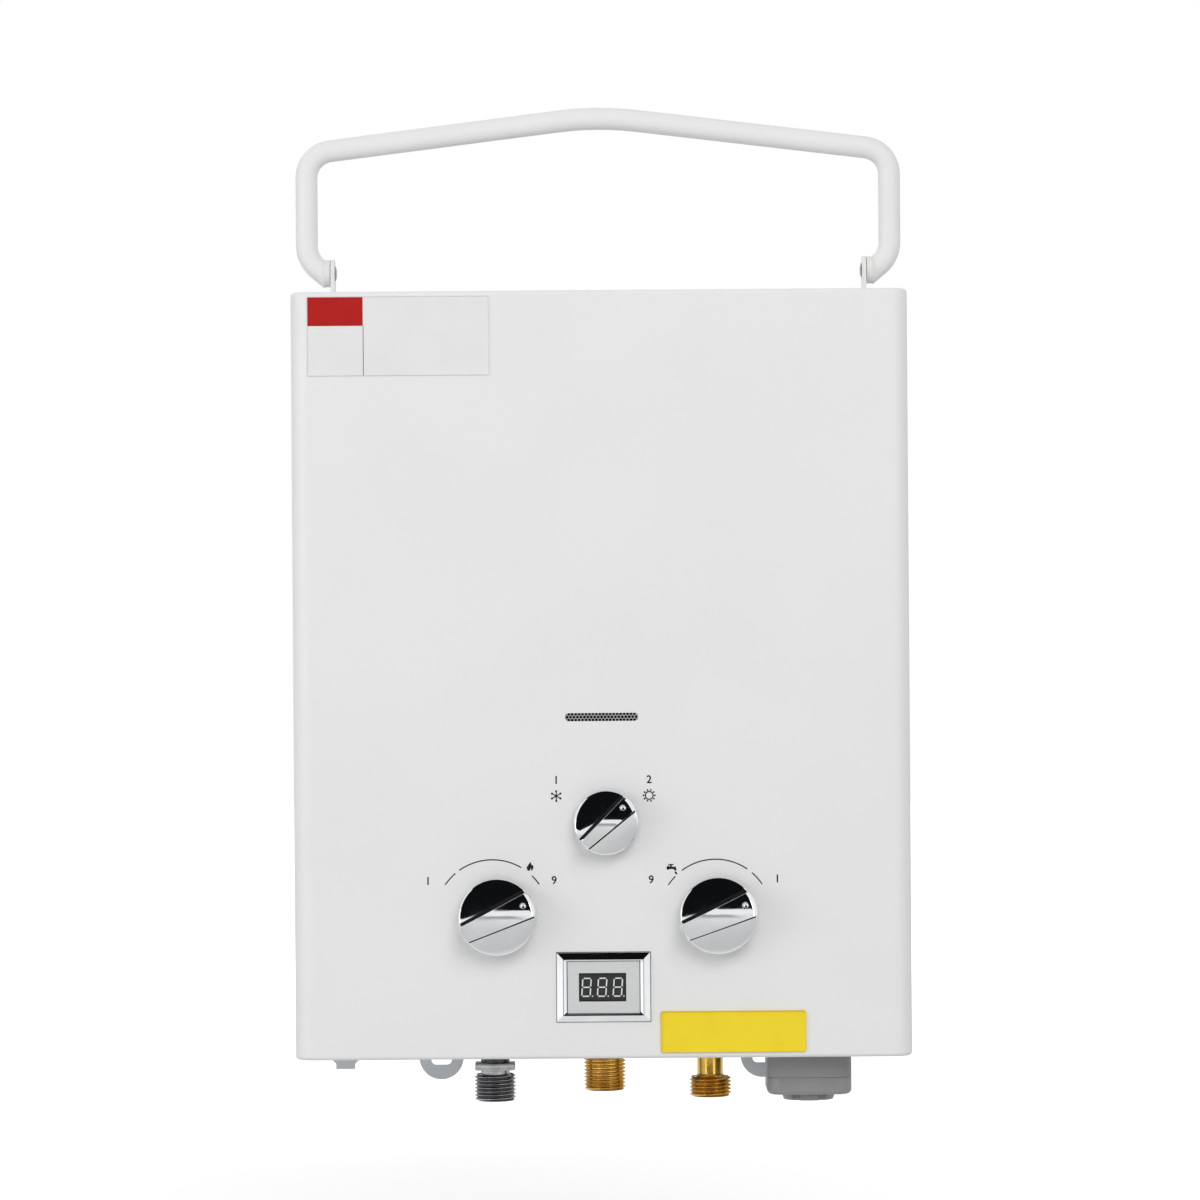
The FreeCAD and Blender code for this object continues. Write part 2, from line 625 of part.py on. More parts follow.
def handle_bracket(label, side, turn):
    """A steel ear that stands on the top panel and carries one end of the handle."""
    body = new_body(label)
    drop = "(pivot_height - case_height + sheet_gauge)"
    plate = sketch(body, "YZ_Plane")
    rectangle(plate, "-ear_radius", f"-{drop}", "ear_radius", "0")
    pad(body, plate, "ear_gauge", both_ways=True)
    pad(body, circle(sketch(body, "YZ_Plane"), "ear_radius"), "ear_gauge", both_ways=True)
    foot = sketch(body, "XY_Plane", f"-{drop}")
    rectangle(foot, "-ear_foot_length", "-ear_radius", "ear_gauge / 2", "ear_radius")
    pad(body, foot, "ear_gauge")
    hole = circle(sketch(body, "YZ_Plane"), "pivot_pin_radius + pivot_play")
    pocket(body, hole, both_ways=True)
    place(body, f"{side} * pivot_place", "-pivot_depth", "pivot_height", (0, 0, 1), turn)


def handle_pivots():
    """The handle's pivot screws, and the nylon spacers between its feet and the ears."""
    screws = []
    spacers = []
    for side, turn in ((1, "90"), (-1, "-90")):
        inner = f"{side} * (pivot_place - ear_gauge / 2 - pivot_play)"
        head = cylinder("screw_head_radius", "screw_head_height", inner,
                        axis=(0, 1, 0), angle=f"-({turn})")
        shank = cylinder("pivot_pin_radius", "pivot_pin_end - pivot_place + ear_gauge / 2", inner,
                         axis=(0, 1, 0), angle=turn)
        screws.append(fused(head, shank))
        start = f"{side} * (pivot_place + ear_gauge / 2 + fit_gap)"
        length = "tube_end_place - pivot_place - ear_gauge / 2 - fit_gap"
        disc = cylinder("spacer_radius", length, start, axis=(0, 1, 0), angle=turn)
        hole = cylinder("pivot_pin_radius", length, start, axis=(0, 1, 0), angle=turn)
        spacer = doc.addObject("Part::Cut", "Spacer")
        spacer.Base = disc
        spacer.Tool = hole
        spacers.append(spacer)
    place(group("handle_screws", screws), y="-pivot_depth", z="pivot_height")
    place(group("handle_spacers", spacers), y="-pivot_depth", z="pivot_height")


# ---------------------------------------------------------------- knobs and display

def crown_radius(rim, fall):
    """The radius of a shallow dome that falls by a height on its way out to its rim."""
    return f"(({rim} * {rim} + {fall} * {fall}) / (2 * {fall}))"


def knob(label, radius, height, pointer_width, tail_width, across, up, angle):
    """A plated knob: a domed round body, scooped out to a lower dome beside a tapering bar."""
    body = new_body(label)
    blank = sketch(body, "XY_Plane")
    outline(blank, [("0", "-knob_gap"), ("0", f"-{height}"),
                    (radius, f"-{height} + knob_crown"), (radius, "-knob_gap")],
            crowned=1, radius=crown_radius(radius, "knob_crown"))
    revolve(body, blank)
    rim = value(f"-{height} + knob_crown")
    dress_edges(body, "Fillet", "knob_rim", lambda edge: lies_at(edge, "Y", rim))
    floor = f"({height} - grip_depth - scoop_crown - scoop_rim)"
    for side in (1, -1):
        scoop = sketch(body, "XZ_Plane", height)
        outline(scoop, [(f"-{radius} - 1", f"{side} * {tail_width} / 2"),
                        (f"{radius} + 1", f"{side} * {pointer_width} / 2"),
                        (f"{radius} + 1", f"{side} * ({radius} + 1)"),
                        (f"-{radius} - 1", f"{side} * ({radius} + 1)")])
        pocket(body, scoop, f"{height} - {floor}")
    low_dome = sketch(body, "XY_Plane")
    outline(low_dome, [("0", f"-{floor}"), ("0", f"grip_depth - {height}"),
                       (f"{radius} - scoop_rim", f"-{floor} - scoop_rim"), (radius, f"-{floor}")],
            crowned=1, radius=crown_radius(f"({radius} - scoop_rim)", "scoop_crown"))
    revolve(body, low_dome)
    dimple = circle(sketch(body, "XZ_Plane", height), "dimple_radius", f"{radius} - dimple_inset")
    pocket(body, dimple, "dimple_depth + knob_crown / 2")
    pocket(body, circle(sketch(body, "XZ_Plane", "spindle_grip"), "spindle_radius"))
    place(body, across, "-case_depth", up, (0, -1, 0), angle)


def spindle(label, length, across, up):
    """A brass shaft from a knob into its valve, with a collar just inside the cover."""
    body = new_body(label)
    turned = sketch(body, "XY_Plane")
    outline(turned, [("0", "-spindle_grip"), ("spindle_radius", "-spindle_grip"),
                     ("spindle_radius", "spindle_collar_near"),
                     ("spindle_collar_radius", "spindle_collar_near"),
                     ("spindle_collar_radius", "spindle_collar_far"),
                     ("spindle_radius", "spindle_collar_far"),
                     ("spindle_radius", length), ("0", length)])
    revolve(body, turned)
    place(body, across, "-case_depth", up)


def display():
    """A bevelled chrome frame, a satin panel, the dark window in it, and the board behind."""
    bezel = new_body("display_bezel")
    pad(bezel, centred(sketch(bezel, "XZ_Plane"), "bezel_width", "bezel_tall"), "bezel_edge")
    slope = centred(sketch(bezel, "XZ_Plane", "bezel_edge"), "bezel_width", "bezel_tall")
    bevel = pad(bezel, slope, "bezel_thick - bezel_edge")
    bevel.setExpression("TaperAngle", linked("-atan(bezel_bevel / (bezel_thick - bezel_edge))"))
    gap = centred(sketch(bezel, "XZ_Plane", "bezel_thick"), "(panel_width + panel_gap)",
                  "(panel_tall + panel_gap)")
    pocket(bezel, gap)
    place(bezel, y="-case_depth", z="display_height")
    panel = new_body("display_panel")
    face = sketch(panel, "XZ_Plane", "-sheet_gauge")
    centred(face, "panel_width", "panel_tall")
    centred(face, "(window_width + window_gap)", "(window_tall + window_gap)", "-window_shift")
    pad(panel, face, "bezel_thick - panel_recess + sheet_gauge")
    place(panel, y="-case_depth", z="display_height")
    window = new_body("display_window")
    pane = centred(sketch(window, "XZ_Plane", "-sheet_gauge"), "window_width", "window_tall",
                   "-window_shift")
    pad(window, pane, "bezel_thick - panel_recess + sheet_gauge - panel_gap")
    dress_edges(window, "Fillet", "window_corner", lambda edge: runs_along(edge, "Y"))
    place(window, y="-case_depth", z="display_height")
    board = new_body("display_board")
    pad(board, centred(sketch(board, "XZ_Plane", "-sheet_gauge"), "board_width", "board_tall"),
        "board_thick", backwards=True)
    dress_edges(board, "Fillet", "edge_bend", lambda edge: runs_along(edge, "Y"))
    place(board, y="-case_depth", z="display_height")


# ---------------------------------------------------------------- threaded ports

def turned_port(label, points, across):
    body = new_body(label)
    revolve(body, outline(sketch(body, "XZ_Plane"), points))
    place(body, across, "-port_depth")
    return body


def gas_inlet_fitting():
    """Nickel-plated inlet: a bored stem with a hexagon above its thread."""
    top = "(control_height - gas_valve_low - boss_length)"
    floor = "(2 * sheet_gauge)"
    body = turned_port("gas_inlet_fitting", [
        ("gas_bore_radius", "-gas_thread_end"),
        ("thread_radius - thread_chamfer", "-gas_thread_end"),
        ("thread_radius", "-gas_thread_end + thread_chamfer"),
        ("thread_radius", "-gas_thread_start - thread_chamfer"),
        ("gas_neck_radius", "-gas_thread_start"), ("gas_neck_radius", floor),
        ("hot_collar_radius", floor), ("hot_collar_radius", f"{floor} + port_collar_height"),
        ("gas_neck_radius", f"{floor} + port_collar_height"), ("gas_neck_radius", top),
        ("gas_bore_radius", top)], "-gas_port")
    hexagon = sketch(body, "XY_Plane", "-gas_hex_low")
    corner = "(gas_hex_flats / 2 / cos(30 deg))"
    outline(hexagon, [(f"{corner} * cos({turn} deg)", f"{corner} * sin({turn} deg)")
                      for turn in range(30, 390, 60)])
    circle(hexagon, "gas_neck_radius - 1")
    pad(body, hexagon, "gas_hex_low - gas_hex_high")


def hot_water_outlet():
    """Brass outlet: a thread through the bottom, a collar on the plate and an elbow block."""
    floor = "(2 * sheet_gauge)"
    body = turned_port("hot_water_outlet", [
        ("water_bore_radius", "-hot_thread_end"),
        ("thread_radius - thread_chamfer", "-hot_thread_end"),
        ("thread_radius", "-hot_thread_end + thread_chamfer"), ("thread_radius", floor),
        ("hot_collar_radius", floor), ("hot_collar_radius", f"{floor} + hot_collar_height"),
        ("water_bore_radius", f"{floor} + hot_collar_height")], "hot_port")
    elbow = sketch(body, "XY_Plane", f"{floor} + hot_collar_height")
    rectangle(elbow, "-elbow_width / 2", "-elbow_width / 2", "elbow_width / 2", "elbow_reach")
    pad(body, elbow, f"elbow_top - {floor} - hot_collar_height")
    side = value("elbow_width / 2")
    dress_edges(body, "Fillet", "cast_radius",
                lambda edge: runs_along(edge, "Z") and abs(abs(edge.CenterOfMass.x) - side) < 0.01)


def cold_water_inlet():
    """Brass inlet: a slim neck that swells by a cone to a short thread."""
    top = "(control_height - water_valve_low - boss_length)"
    floor = "(2 * sheet_gauge)"
    turned_port("cold_water_inlet", [
        ("cold_bore_radius", "-cold_thread_end"),
        ("thread_radius - thread_chamfer", "-cold_thread_end"),
        ("thread_radius", "-cold_thread_end + thread_chamfer"),
        ("thread_radius", "-cold_thread_start"),
        ("cold_neck_radius + cold_cone_swell", "-cold_cone_low"),
        ("cold_neck_radius", "-cold_cone_start"),
        ("cold_neck_radius", floor), ("hot_collar_radius", floor),
        ("hot_collar_radius", f"{floor} + port_collar_height"),
        ("cold_collar_radius", f"{floor} + port_collar_height"),
        ("cold_collar_radius", top),
        ("cold_bore_radius", top)], "cold_port")


# ---------------------------------------------------------------- gas and water valves

def valve_block(label, left, right, low, high, port_shift):
    """A cast block with a bonnet for its spindle in front and a boss for its port below."""
    body = new_body(label)
    block = rectangle(sketch(body, "XZ_Plane"), f"-{left}", f"-{low}", right, high)
    pad(body, block, "valve_depth", both_ways=True)
    dress_edges(body, "Fillet", "cast_radius", lambda edge: runs_along(edge, "Y"))
    bonnet = circle(sketch(body, "XZ_Plane", "valve_depth / 2 - 1"), "bonnet_radius")
    pad(body, bonnet, "bonnet_length + 1")
    boss = circle(sketch(body, "XY_Plane", f"-{low} - boss_length"), "boss_radius", port_shift)
    pad(body, boss, "boss_length + 1")
    bore = circle(sketch(body, "XZ_Plane", "valve_depth / 2 + bonnet_length"),
                  "spindle_radius + spindle_play")
    pocket(body, bore, "bonnet_length + spindle_seat")
    return body


def gas_valve_body():
    """The rod's valve disc opens inside a seat bored from the right."""
    body = valve_block("gas_valve_body", "gas_valve_left", "gas_valve_right", "gas_valve_low",
                       "gas_valve_high", "gas_place - gas_port")
    seat = circle(sketch(body, "YZ_Plane", "gas_valve_right"), "seat_radius")
    pocket(body, seat, "seat_depth")
    place(body, "-gas_place", "-port_depth", "control_height")


def water_valve_body():
    """The left side opens into the diaphragm's flange, the back carries the feed pipe's seat."""
    body = valve_block("water_valve_body", "water_valve_left", "water_valve_right",
                       "water_valve_low", "water_valve_high", "cold_port - water_place")
    flange = circle(sketch(body, "YZ_Plane", "-water_valve_left + 0.5"), "diaphragm_radius")
    pad(body, flange, "diaphragm_flange + 0.5", backwards=True)
    chamber = circle(sketch(body, "YZ_Plane", "-water_valve_left - diaphragm_flange"),
                     "cover_cavity_radius")
    pocket(body, chamber, "diaphragm_flange - 2", backwards=True)
    seat = sketch(body, "XY_Plane", "water_valve_high")
    rectangle(seat, "0", "valve_depth / 2 - 1", "water_valve_right - 1",
              "port_depth - cold_pipe_depth + 2 * pipe_radius")
    pad(body, seat, "water_valve_high", backwards=True)
    place(body, "water_place", "-port_depth", "control_height")


def diaphragm_parts():
    """The rubber diaphragm, and the cover that clamps it and guides the rod."""
    face = "(water_place - water_valve_left - diaphragm_flange)"
    rubber = new_body("diaphragm")
    pad(rubber, circle(sketch(rubber, "YZ_Plane"), "diaphragm_radius - 0.5"), "diaphragm_gauge",
        backwards=True)
    place(rubber, face, "-port_depth", "control_height")
    cover = new_body("diaphragm_cover")
    turned = sketch(cover, "XY_Plane")
    outline(turned, [("0", "cover_cavity_radius"), ("0", "diaphragm_radius"),
                     ("-cover_thick", "diaphragm_radius"), ("-cover_thick", "neck_radius"),
                     ("-cover_thick - neck_length", "neck_radius"),
                     ("-cover_thick - neck_length", "rod_radius + rod_play"),
                     ("-cover_cavity_depth", "rod_radius + rod_play"),
                     ("-cover_cavity_depth", "cover_cavity_radius")])
    revolve(cover, turned, "H_Axis")
    place(cover, f"{face} - diaphragm_gauge", "-port_depth", "control_height")


def push_rod():
    """One turned piece: pressure plate, rod, tripping collar and the gas valve's disc."""
    body = new_body("push_rod")
    plate = "(water_place - water_valve_left - diaphragm_flange - diaphragm_gauge - plate_clear)"
    turned = sketch(body, "XY_Plane")
    outline(turned, [(plate, "0"), (plate, "plate_radius"),
                     (f"{plate} - plate_thick", "plate_radius"),
                     (f"{plate} - plate_thick", "rod_radius"),
                     ("collar_thick - collar_place", "rod_radius"),
                     ("collar_thick - collar_place", "collar_radius"),
                     ("-collar_place", "collar_radius"), ("-collar_place", "rod_radius"),
                     ("-poppet_place", "rod_radius"), ("-poppet_place", "poppet_radius"),
                     ("-poppet_place - poppet_thick", "poppet_radius"),
                     ("-poppet_place - poppet_thick", "0")])
    revolve(body, turned, "H_Axis")
    place(body, "0", "-port_depth", "control_height")


def solenoid():
    """The safety valve on the gas block's left: a coil can and the plunger that it lifts."""
    rise = "control_height + solenoid_rise"
    can = new_body("solenoid_coil")
    turned = sketch(can, "XY_Plane")
    bore = "(plunger_radius + plunger_play)"
    outline(turned, [("0", bore), ("0", "solenoid_radius"),
                     ("-solenoid_length", "solenoid_radius"), ("-solenoid_length", "0"),
                     ("-solenoid_length + 2", "0"), ("-solenoid_length + 2", bore)])
    revolve(can, turned, "H_Axis")
    place(can, "-gas_place - gas_valve_left", "-port_depth", rise)
    plunger = new_body("solenoid_plunger")
    core = circle(sketch(plunger, "YZ_Plane", "-plunger_play"), "plunger_radius")
    pad(plunger, core, "plunger_length", backwards=True)
    place(plunger, "-gas_place - gas_valve_left - 1", "-port_depth", rise)


def rod_switch():
    """A snap switch over the rod, its hanging lever, and the bracket on the gas block."""
    hinge = "(lever_pin_rise - switch_rise)"
    switch = new_body("rod_switch")
    case = rectangle(sketch(switch, "XZ_Plane"), "-switch_length + switch_nose", "0",
                     "switch_nose", "switch_tall")
    pad(switch, case, "switch_thick", both_ways=True)
    for side in (1, -1):
        lug = sketch(switch, "XZ_Plane", f"{side} * (switch_thick - switch_lug_gauge) / 2")
        rectangle(lug, "-switch_lug_reach", f"{hinge} - switch_lug_reach", "switch_lug_reach", "1")
        pad(switch, lug, "switch_lug_gauge", both_ways=True)
    pocket(switch, circle(sketch(switch, "XZ_Plane"), "lever_pin_radius + spindle_play", "0", hinge),
           both_ways=True)
    lever_line = "-collar_place - fit_gap - lever_gauge / 2"
    place(switch, lever_line, "-port_depth", "control_height + switch_rise")
    lever = new_body("switch_lever")
    pad(lever, circle(sketch(lever, "XZ_Plane"), "lever_pin_radius"), "switch_thick - fit_gap",
        both_ways=True)
    leaf = rectangle(sketch(lever, "XZ_Plane"), "-lever_gauge / 2", "-lever_length",
                     "lever_gauge / 2", "0")
    pad(lever, leaf, "lever_width", both_ways=True)
    place(lever, lever_line, "-port_depth", "control_height + lever_pin_rise")
    bracket = new_body("switch_bracket")
    wall = "(-gas_place + gas_valve_right)"
    bend = sketch(bracket, "XY_Plane", "switch_rise - 5")
    outline(bend, [(wall, "switch_thick / 2"), ("0", "switch_thick / 2"),
                   ("0", "switch_thick / 2 + bracket_gauge"),
                   (f"{wall} + bracket_gauge", "switch_thick / 2 + bracket_gauge"),
                   (f"{wall} + bracket_gauge", "valve_depth / 2 - 2"),
                   (wall, "valve_depth / 2 - 2")])
    pad(bracket, bend, "switch_tall + 2")
    place(bracket, "0", "-port_depth", "control_height")


# ---------------------------------------------------------------- burner

def gas_riser():
    """A cast duct that leads the gas from the valve forward to the manifold."""
    body = new_body("gas_riser")
    low = "(control_height + gas_valve_high)"
    middle = "(manifold_front - manifold_thick / 2)"
    foot = centred(sketch(body, "XY_Plane", low), "riser_width", "riser_foot", "0",
                   "-port_depth - riser_foot_shift")
    head = centred(sketch(body, "XY_Plane", "manifold_low"), "riser_width", "riser_head", "0",
                   f"-{middle}")
    loft(body, foot, head)
    place(body, "-gas_place")


def burner_manifold():
    """A flat bar that feeds six jets; its middle boss is the season knob's shut-off valve."""
    body = new_body("burner_manifold")
    bar = rectangle(sketch(body, "XZ_Plane", "manifold_front - manifold_thick"),
                    "-manifold_half", "manifold_low", "manifold_half", "manifold_high")
    pad(body, bar, "manifold_thick")
    dress_edges(body, "Fillet", "edge_bend", lambda edge: runs_along(edge, "X"))
    jet = circle(sketch(body, "XZ_Plane", "burner_front + 0.5"), "jet_radius",
                 "-bar_pitch * (bar_count - 1) / 2", "jet_height")
    spout = pad(body, jet, "manifold_front - manifold_thick - burner_front")
    row_of(body, spout, "X_Axis", "bar_pitch * (bar_count - 1)", "bar_count")
    bore = circle(sketch(body, "XZ_Plane", "manifold_front"), "spindle_radius + spindle_play",
                  "season_place", "season_height")
    pocket(body, bore, "spindle_seat")
    place(body)


def burner_frame():
    """A plated tray with no top or bottom that holds the burner bars under the chamber."""
    body = new_body("burner_frame")
    walls = sketch(body, "XY_Plane", "burner_low")
    rectangle(walls, "-burner_width / 2", "-burner_front", "burner_width / 2", "-burner_back")
    gauge = "sheet_gauge"
    rectangle(walls, f"-burner_width / 2 + {gauge}", f"-burner_front + {gauge}",
              f"burner_width / 2 - {gauge}", f"-burner_back - {gauge}")
    pad(body, walls, "burner_high - burner_low")
    jet = circle(sketch(body, "XZ_Plane", "burner_front - 3"), "bar_throat / 2 + 1",
                 "-bar_pitch * (bar_count - 1) / 2", "jet_height + 1")
    way = pocket(body, jet, "6", backwards=True)
    row_of(body, way, "X_Axis", "bar_pitch * (bar_count - 1)", "bar_count")
    for side in (1, -1):
        foot = sketch(body, "XY_Plane", "burner_low")
        centred(foot, "frame_foot_width", "(burner_back - plate_gauge)",
                f"{side} * (burner_width / 2 - frame_foot_inset)",
                "-(burner_back + plate_gauge) / 2")
        pad(body, foot, "plate_gauge")
    place(body)


def burner_bar(number):
    """A pressed steel bar: a throat at the front, a body that widens, and slots along its top."""
    body = new_body(f"burner_bar_{number}")
    front = "(burner_front - sheet_gauge)"
    back = "(burner_back + sheet_gauge)"
    side = sketch(body, "YZ_Plane")
    outline(side, [(f"-{front}", "burner_low + bar_gap"),
                   (f"-{front} + bar_throat_length", "burner_low + bar_gap"),
                   (f"-{back}", "burner_low + bar_belly_rise"),
                   (f"-{back}", "burner_high - bar_top_gap"),
                   (f"-{front}", "burner_high - bar_top_gap"),
                   (f"-{front}", "burner_high - bar_nose_drop"),
                   (f"-{front} + bar_notch_depth", "burner_high - bar_notch_drop"),
                   (f"-{front}", "jet_height + bar_mouth_rise")])
    pad(body, side, "bar_thick", both_ways=True)
    slot = sketch(body, "XY_Plane", "burner_high - bar_top_gap")
    rectangle(slot, "-bar_thick / 2 + bar_slot_margin", f"-{front} + bar_slot_inset",
              "bar_thick / 2 - bar_slot_margin", f"-{front} + bar_slot_inset + bar_slot_width")
    ports = pocket(body, slot, "bar_slot_depth")
    row_of(body, ports, "Y_Axis", "bar_slot_spread", "bar_slot_count")
    middle = "(bar_count + 1) / 2"
    place(body, f"({number} - {middle}) * bar_pitch")


def electrode(label, across):
    """A ceramic rod with a steel tip, clipped to the chamber's front over the burner."""
    body = new_body(label)
    turned = sketch(body, "XZ_Plane")
    outline(turned, [("0", "0"), ("terminal_tip", "0"), ("ceramic_radius", "ceramic_low"),
                     ("ceramic_radius", "clip_low - 1"), ("clip_radius", "clip_low"),
                     ("clip_radius", "clip_high"), ("ceramic_radius", "clip_high + 1"),
                     ("ceramic_radius", "ceramic_high"), ("wire_radius", "ceramic_high + 2"),
                     ("wire_radius", "electrode_length"), ("0", "electrode_length")])
    revolve(body, turned)
    place(body, across, "-burner_front - clip_radius", "manifold_high + 1")


# ---------------------------------------------------------------- heat exchanger

def exchanger_chamber():
    """An open copper box round the flames."""
    body = new_body("exchanger_chamber")
    outer = sketch(body, "XY_Plane", "chamber_low")
    rectangle(outer, "-chamber_width / 2", "-chamber_front", "chamber_width / 2", "-chamber_back")
    pad(body, outer, "chamber_high - chamber_low")
    dress_edges(body, "Fillet", "chamber_bend", lambda edge: runs_along(edge, "Z"))
    doc.recompute()
    block = body.Tip
    low = value("chamber_low")
    high = value("chamber_high")
    shell = feature(body, "Thickness")
    shell.Base = (block, chosen(block.Shape.Faces, "Face", lambda face: lies_at(face, "Z", low)
                                or lies_at(face, "Z", high)))
    shell.setExpression("Value", linked("chamber_gauge"))
    shell.Reversed = True
    place(body)


def rounded_path(points, bends):
    """Straight runs through space, joined by a tangent arc at each corner."""
    edges = []
    start = points[0]
    for before, corner, after, radius in zip(points, points[1:], points[2:], bends):
        into = (corner - before).normalize()
        out = (after - corner).normalize()
        half_turn = into.getAngle(out) / 2
        reach = radius * math.tan(half_turn)
        entry = corner - into * reach
        leave = corner + out * reach
        inward = (out - into).normalize()
        centre = corner + inward * (radius / math.cos(half_turn))
        edges.append(Part.LineSegment(start, entry).toShape())
        edges.append(Part.Arc(entry, centre - inward * radius, leave).toShape())
        start = leave
    edges.append(Part.LineSegment(start, points[-1]).toShape())
    return Part.Wire(edges)


def exchanger_coil():
    """One copper tube wound round the chamber, then up to the finned block's front pass.

    Each turn is level along the front and the sides, and climbs to the next along the back.
    """
    radius = value("coil_radius")
    side = value("coil_side")
    front = -value("chamber_front") - radius
    back = -value("chamber_back") + radius
    pass_depth = -value("(chamber_front + chamber_back) / 2 + pass_pitch")
    height = value("coil_low")
    points = [Vector(side, -value("cold_pipe_depth"), height - value("coil_stub")),
              Vector(side, -value("cold_pipe_depth"), height)]
    for _ in range(int(value("coil_turns"))):
        points.append(Vector(side, front, height))
        points.append(Vector(-side, front, height))
        points.append(Vector(-side, back, height))
        height += value("coil_pitch")
        points.append(Vector(side, back, height))
    out = value("coil_riser_place")
    points.append(Vector(out, pass_depth, height))
    points.append(Vector(out, pass_depth, value("pass_height")))
    points.append(Vector(value("pass_start"), pass_depth, value("pass_height")))
    bends = [value("coil_bend")] * (len(points) - 3) + [value("coil_elbow")]
    path = rounded_path(points, bends)
    ring = Part.Wire(Part.makeCircle(radius, points[0], points[1] - points[0]))
    made = doc.addObject("Part::Feature", "exchanger_coil")
    made.Label = "exchanger_coil"
    made.Shape = path.makePipeShell([ring], True, True)
    pieces.append(made)
    place(made)


def exchanger_fins():
    """The brazed block over the chamber: a row of thin fins on a tube that crosses three times."""
    body = new_body("exchanger_fins")
    middle = "((chamber_front + chamber_back) / 2)"
    fin = sketch(body, "YZ_Plane", "-chamber_width / 2")
    rectangle(fin, "-chamber_front", "fin_low", "-chamber_back", "fin_high")
    plate = pad(body, fin, "fin_gauge")
    body.AllowCompound = True
    row_of(body, plate, "X_Axis", "chamber_width - fin_gauge", "fin_count")
    spine = sketch(body, "XY_Plane", "pass_height")
    left = "-pass_overrun"
    right = "pass_overrun"
    route(spine, [("pass_start", f"-{middle} - pass_pitch"), (left, f"-{middle} - pass_pitch"),
                  (left, f"-{middle}"), (right, f"-{middle}"),
                  (right, f"-{middle} + pass_pitch"), (left, f"-{middle} + pass_pitch")],
          ["pass_pitch / 2 - fit_gap"] * 4)
    ring = circle(sketch(body, "YZ_Plane", "pass_start"), "coil_radius", f"-{middle} - pass_pitch",
                  "pass_height")
    sweep(body, ring, spine)
    place(body)


def water_pipe(label, corners, bend, depth):
    """A copper pipe bent in one upright plane."""
    body = new_body(label)
    spine = route(sketch(body, "XZ_Plane"), corners, [bend] * (len(corners) - 2))
    start = corners[0]
    ring = circle(sketch(body, "XY_Plane", start[1]), "pipe_radius", start[0], "0")
    sweep(body, ring, spine)
    place(body, y=f"-{depth}")


def flue_hood():
    """A sheet hood that widens from the finned block to the slots in the top."""
    body = new_body("flue_hood")
    top = "(case_height - 2 * sheet_gauge)"
    low = sketch(body, "XY_Plane", "fin_high")
    rectangle(low, "-chamber_width / 2", "-chamber_front", "chamber_width / 2", "-chamber_back")
    high = sketch(body, "XY_Plane", top)
    rectangle(high, "-hood_top_width / 2", "-hood_top_front", "hood_top_width / 2",
              "-hood_top_back")
    loft(body, low, high)
    doc.recompute()
    block = body.Tip
    floor = value("fin_high")
    roof = value(top)
    shell = feature(body, "Thickness")
    shell.Base = (block, chosen(block.Shape.Faces, "Face", lambda face: lies_at(face, "Z", floor)
                                or lies_at(face, "Z", roof)))
    shell.setExpression("Value", linked("sheet_gauge"))
    shell.Reversed = True
    place(body)


def overheat_thermostat():
    """A disc thermostat clipped to the chamber's left side."""
    body = new_body("overheat_thermostat")
    turned = sketch(body, "XY_Plane")
    outline(turned, [("0", "0"), ("0", "thermostat_flange"),
                     ("-thermostat_gauge", "thermostat_flange"),
                     ("-thermostat_gauge", "thermostat_radius"),
                     ("-thermostat_thick", "thermostat_radius"),
                     ("-thermostat_thick", "thermostat_stem"),
                     ("-thermostat_reach", "thermostat_stem"), ("-thermostat_reach", "0")])
    revolve(body, turned, "H_Axis")
    place(body, "-chamber_width / 2", "-port_depth", "chamber_low + thermostat_rise")


# ---------------------------------------------------------------- battery box and controller

def battery_box():
    """A long moulded sleeve for two cells, end to end, with a snap-on collar below."""
    sleeve = new_body("battery_housing")
    block = centred(sketch(sleeve, "XY_Plane", "-battery_seam"), "battery_width", "battery_deep")
    pad(sleeve, block, "battery_seam + battery_top")
    dress_edges(sleeve, "Fillet", "battery_corner", lambda edge: runs_along(edge, "Z"))
    bay = circle(sketch(sleeve, "XY_Plane", "-battery_seam"), "cell_bay_radius")
    pocket(sleeve, bay, "battery_seam + battery_top - housing_roof", backwards=True)
    rim = sketch(sleeve, "XY_Plane", "2 * sheet_gauge")
    centred(rim, "(battery_width + 2 * rim_flange)", "(battery_deep + 2 * rim_flange)")
    circle(rim, "cell_bay_radius + 1")
    pad(sleeve, rim, "2 * sheet_gauge")
    place(sleeve, "battery_place", "-battery_depth")
    collar = new_body("battery_collar")
    block = centred(sketch(collar, "XY_Plane", "-battery_bottom"), "battery_width", "battery_deep")
    pad(collar, block, "battery_bottom - battery_seam")
    dress_edges(collar, "Fillet", "battery_corner", lambda edge: runs_along(edge, "Z"))
    bottom = value("-battery_bottom")
    dress_edges(collar, "Fillet", "battery_edge", lambda edge: lies_at(edge, "Z", bottom))
    pocket(collar, circle(sketch(collar, "XY_Plane"), "collar_hole_radius"))
    place(collar, "battery_place", "-battery_depth")


def battery_cap():
    """A plug that closes the collar, with a notched grip to turn it by."""
    body = new_body("battery_cap")
    turned = sketch(body, "XZ_Plane")
    outline(turned, [("0", "-grip_bottom"), ("grip_radius - grip_taper", "-grip_bottom"),
                     ("grip_radius", "-battery_bottom - grip_taper"),
                     ("grip_radius", "-battery_bottom + cap_lip"),
                     ("cap_radius", "-battery_bottom + cap_lip"),
                     ("cap_radius", "-battery_seam - cap_clear"),
                     ("0", "-battery_seam - cap_clear")])
    revolve(body, turned)
    notch = circle(sketch(body, "XY_Plane", "-battery_bottom"), "grip_notch_radius", "grip_radius")
    ring_of(body, pocket(body, notch, "grip_bottom - battery_bottom"), "Z_Axis", "grip_notches")
    place(body, "battery_place", "-battery_depth")


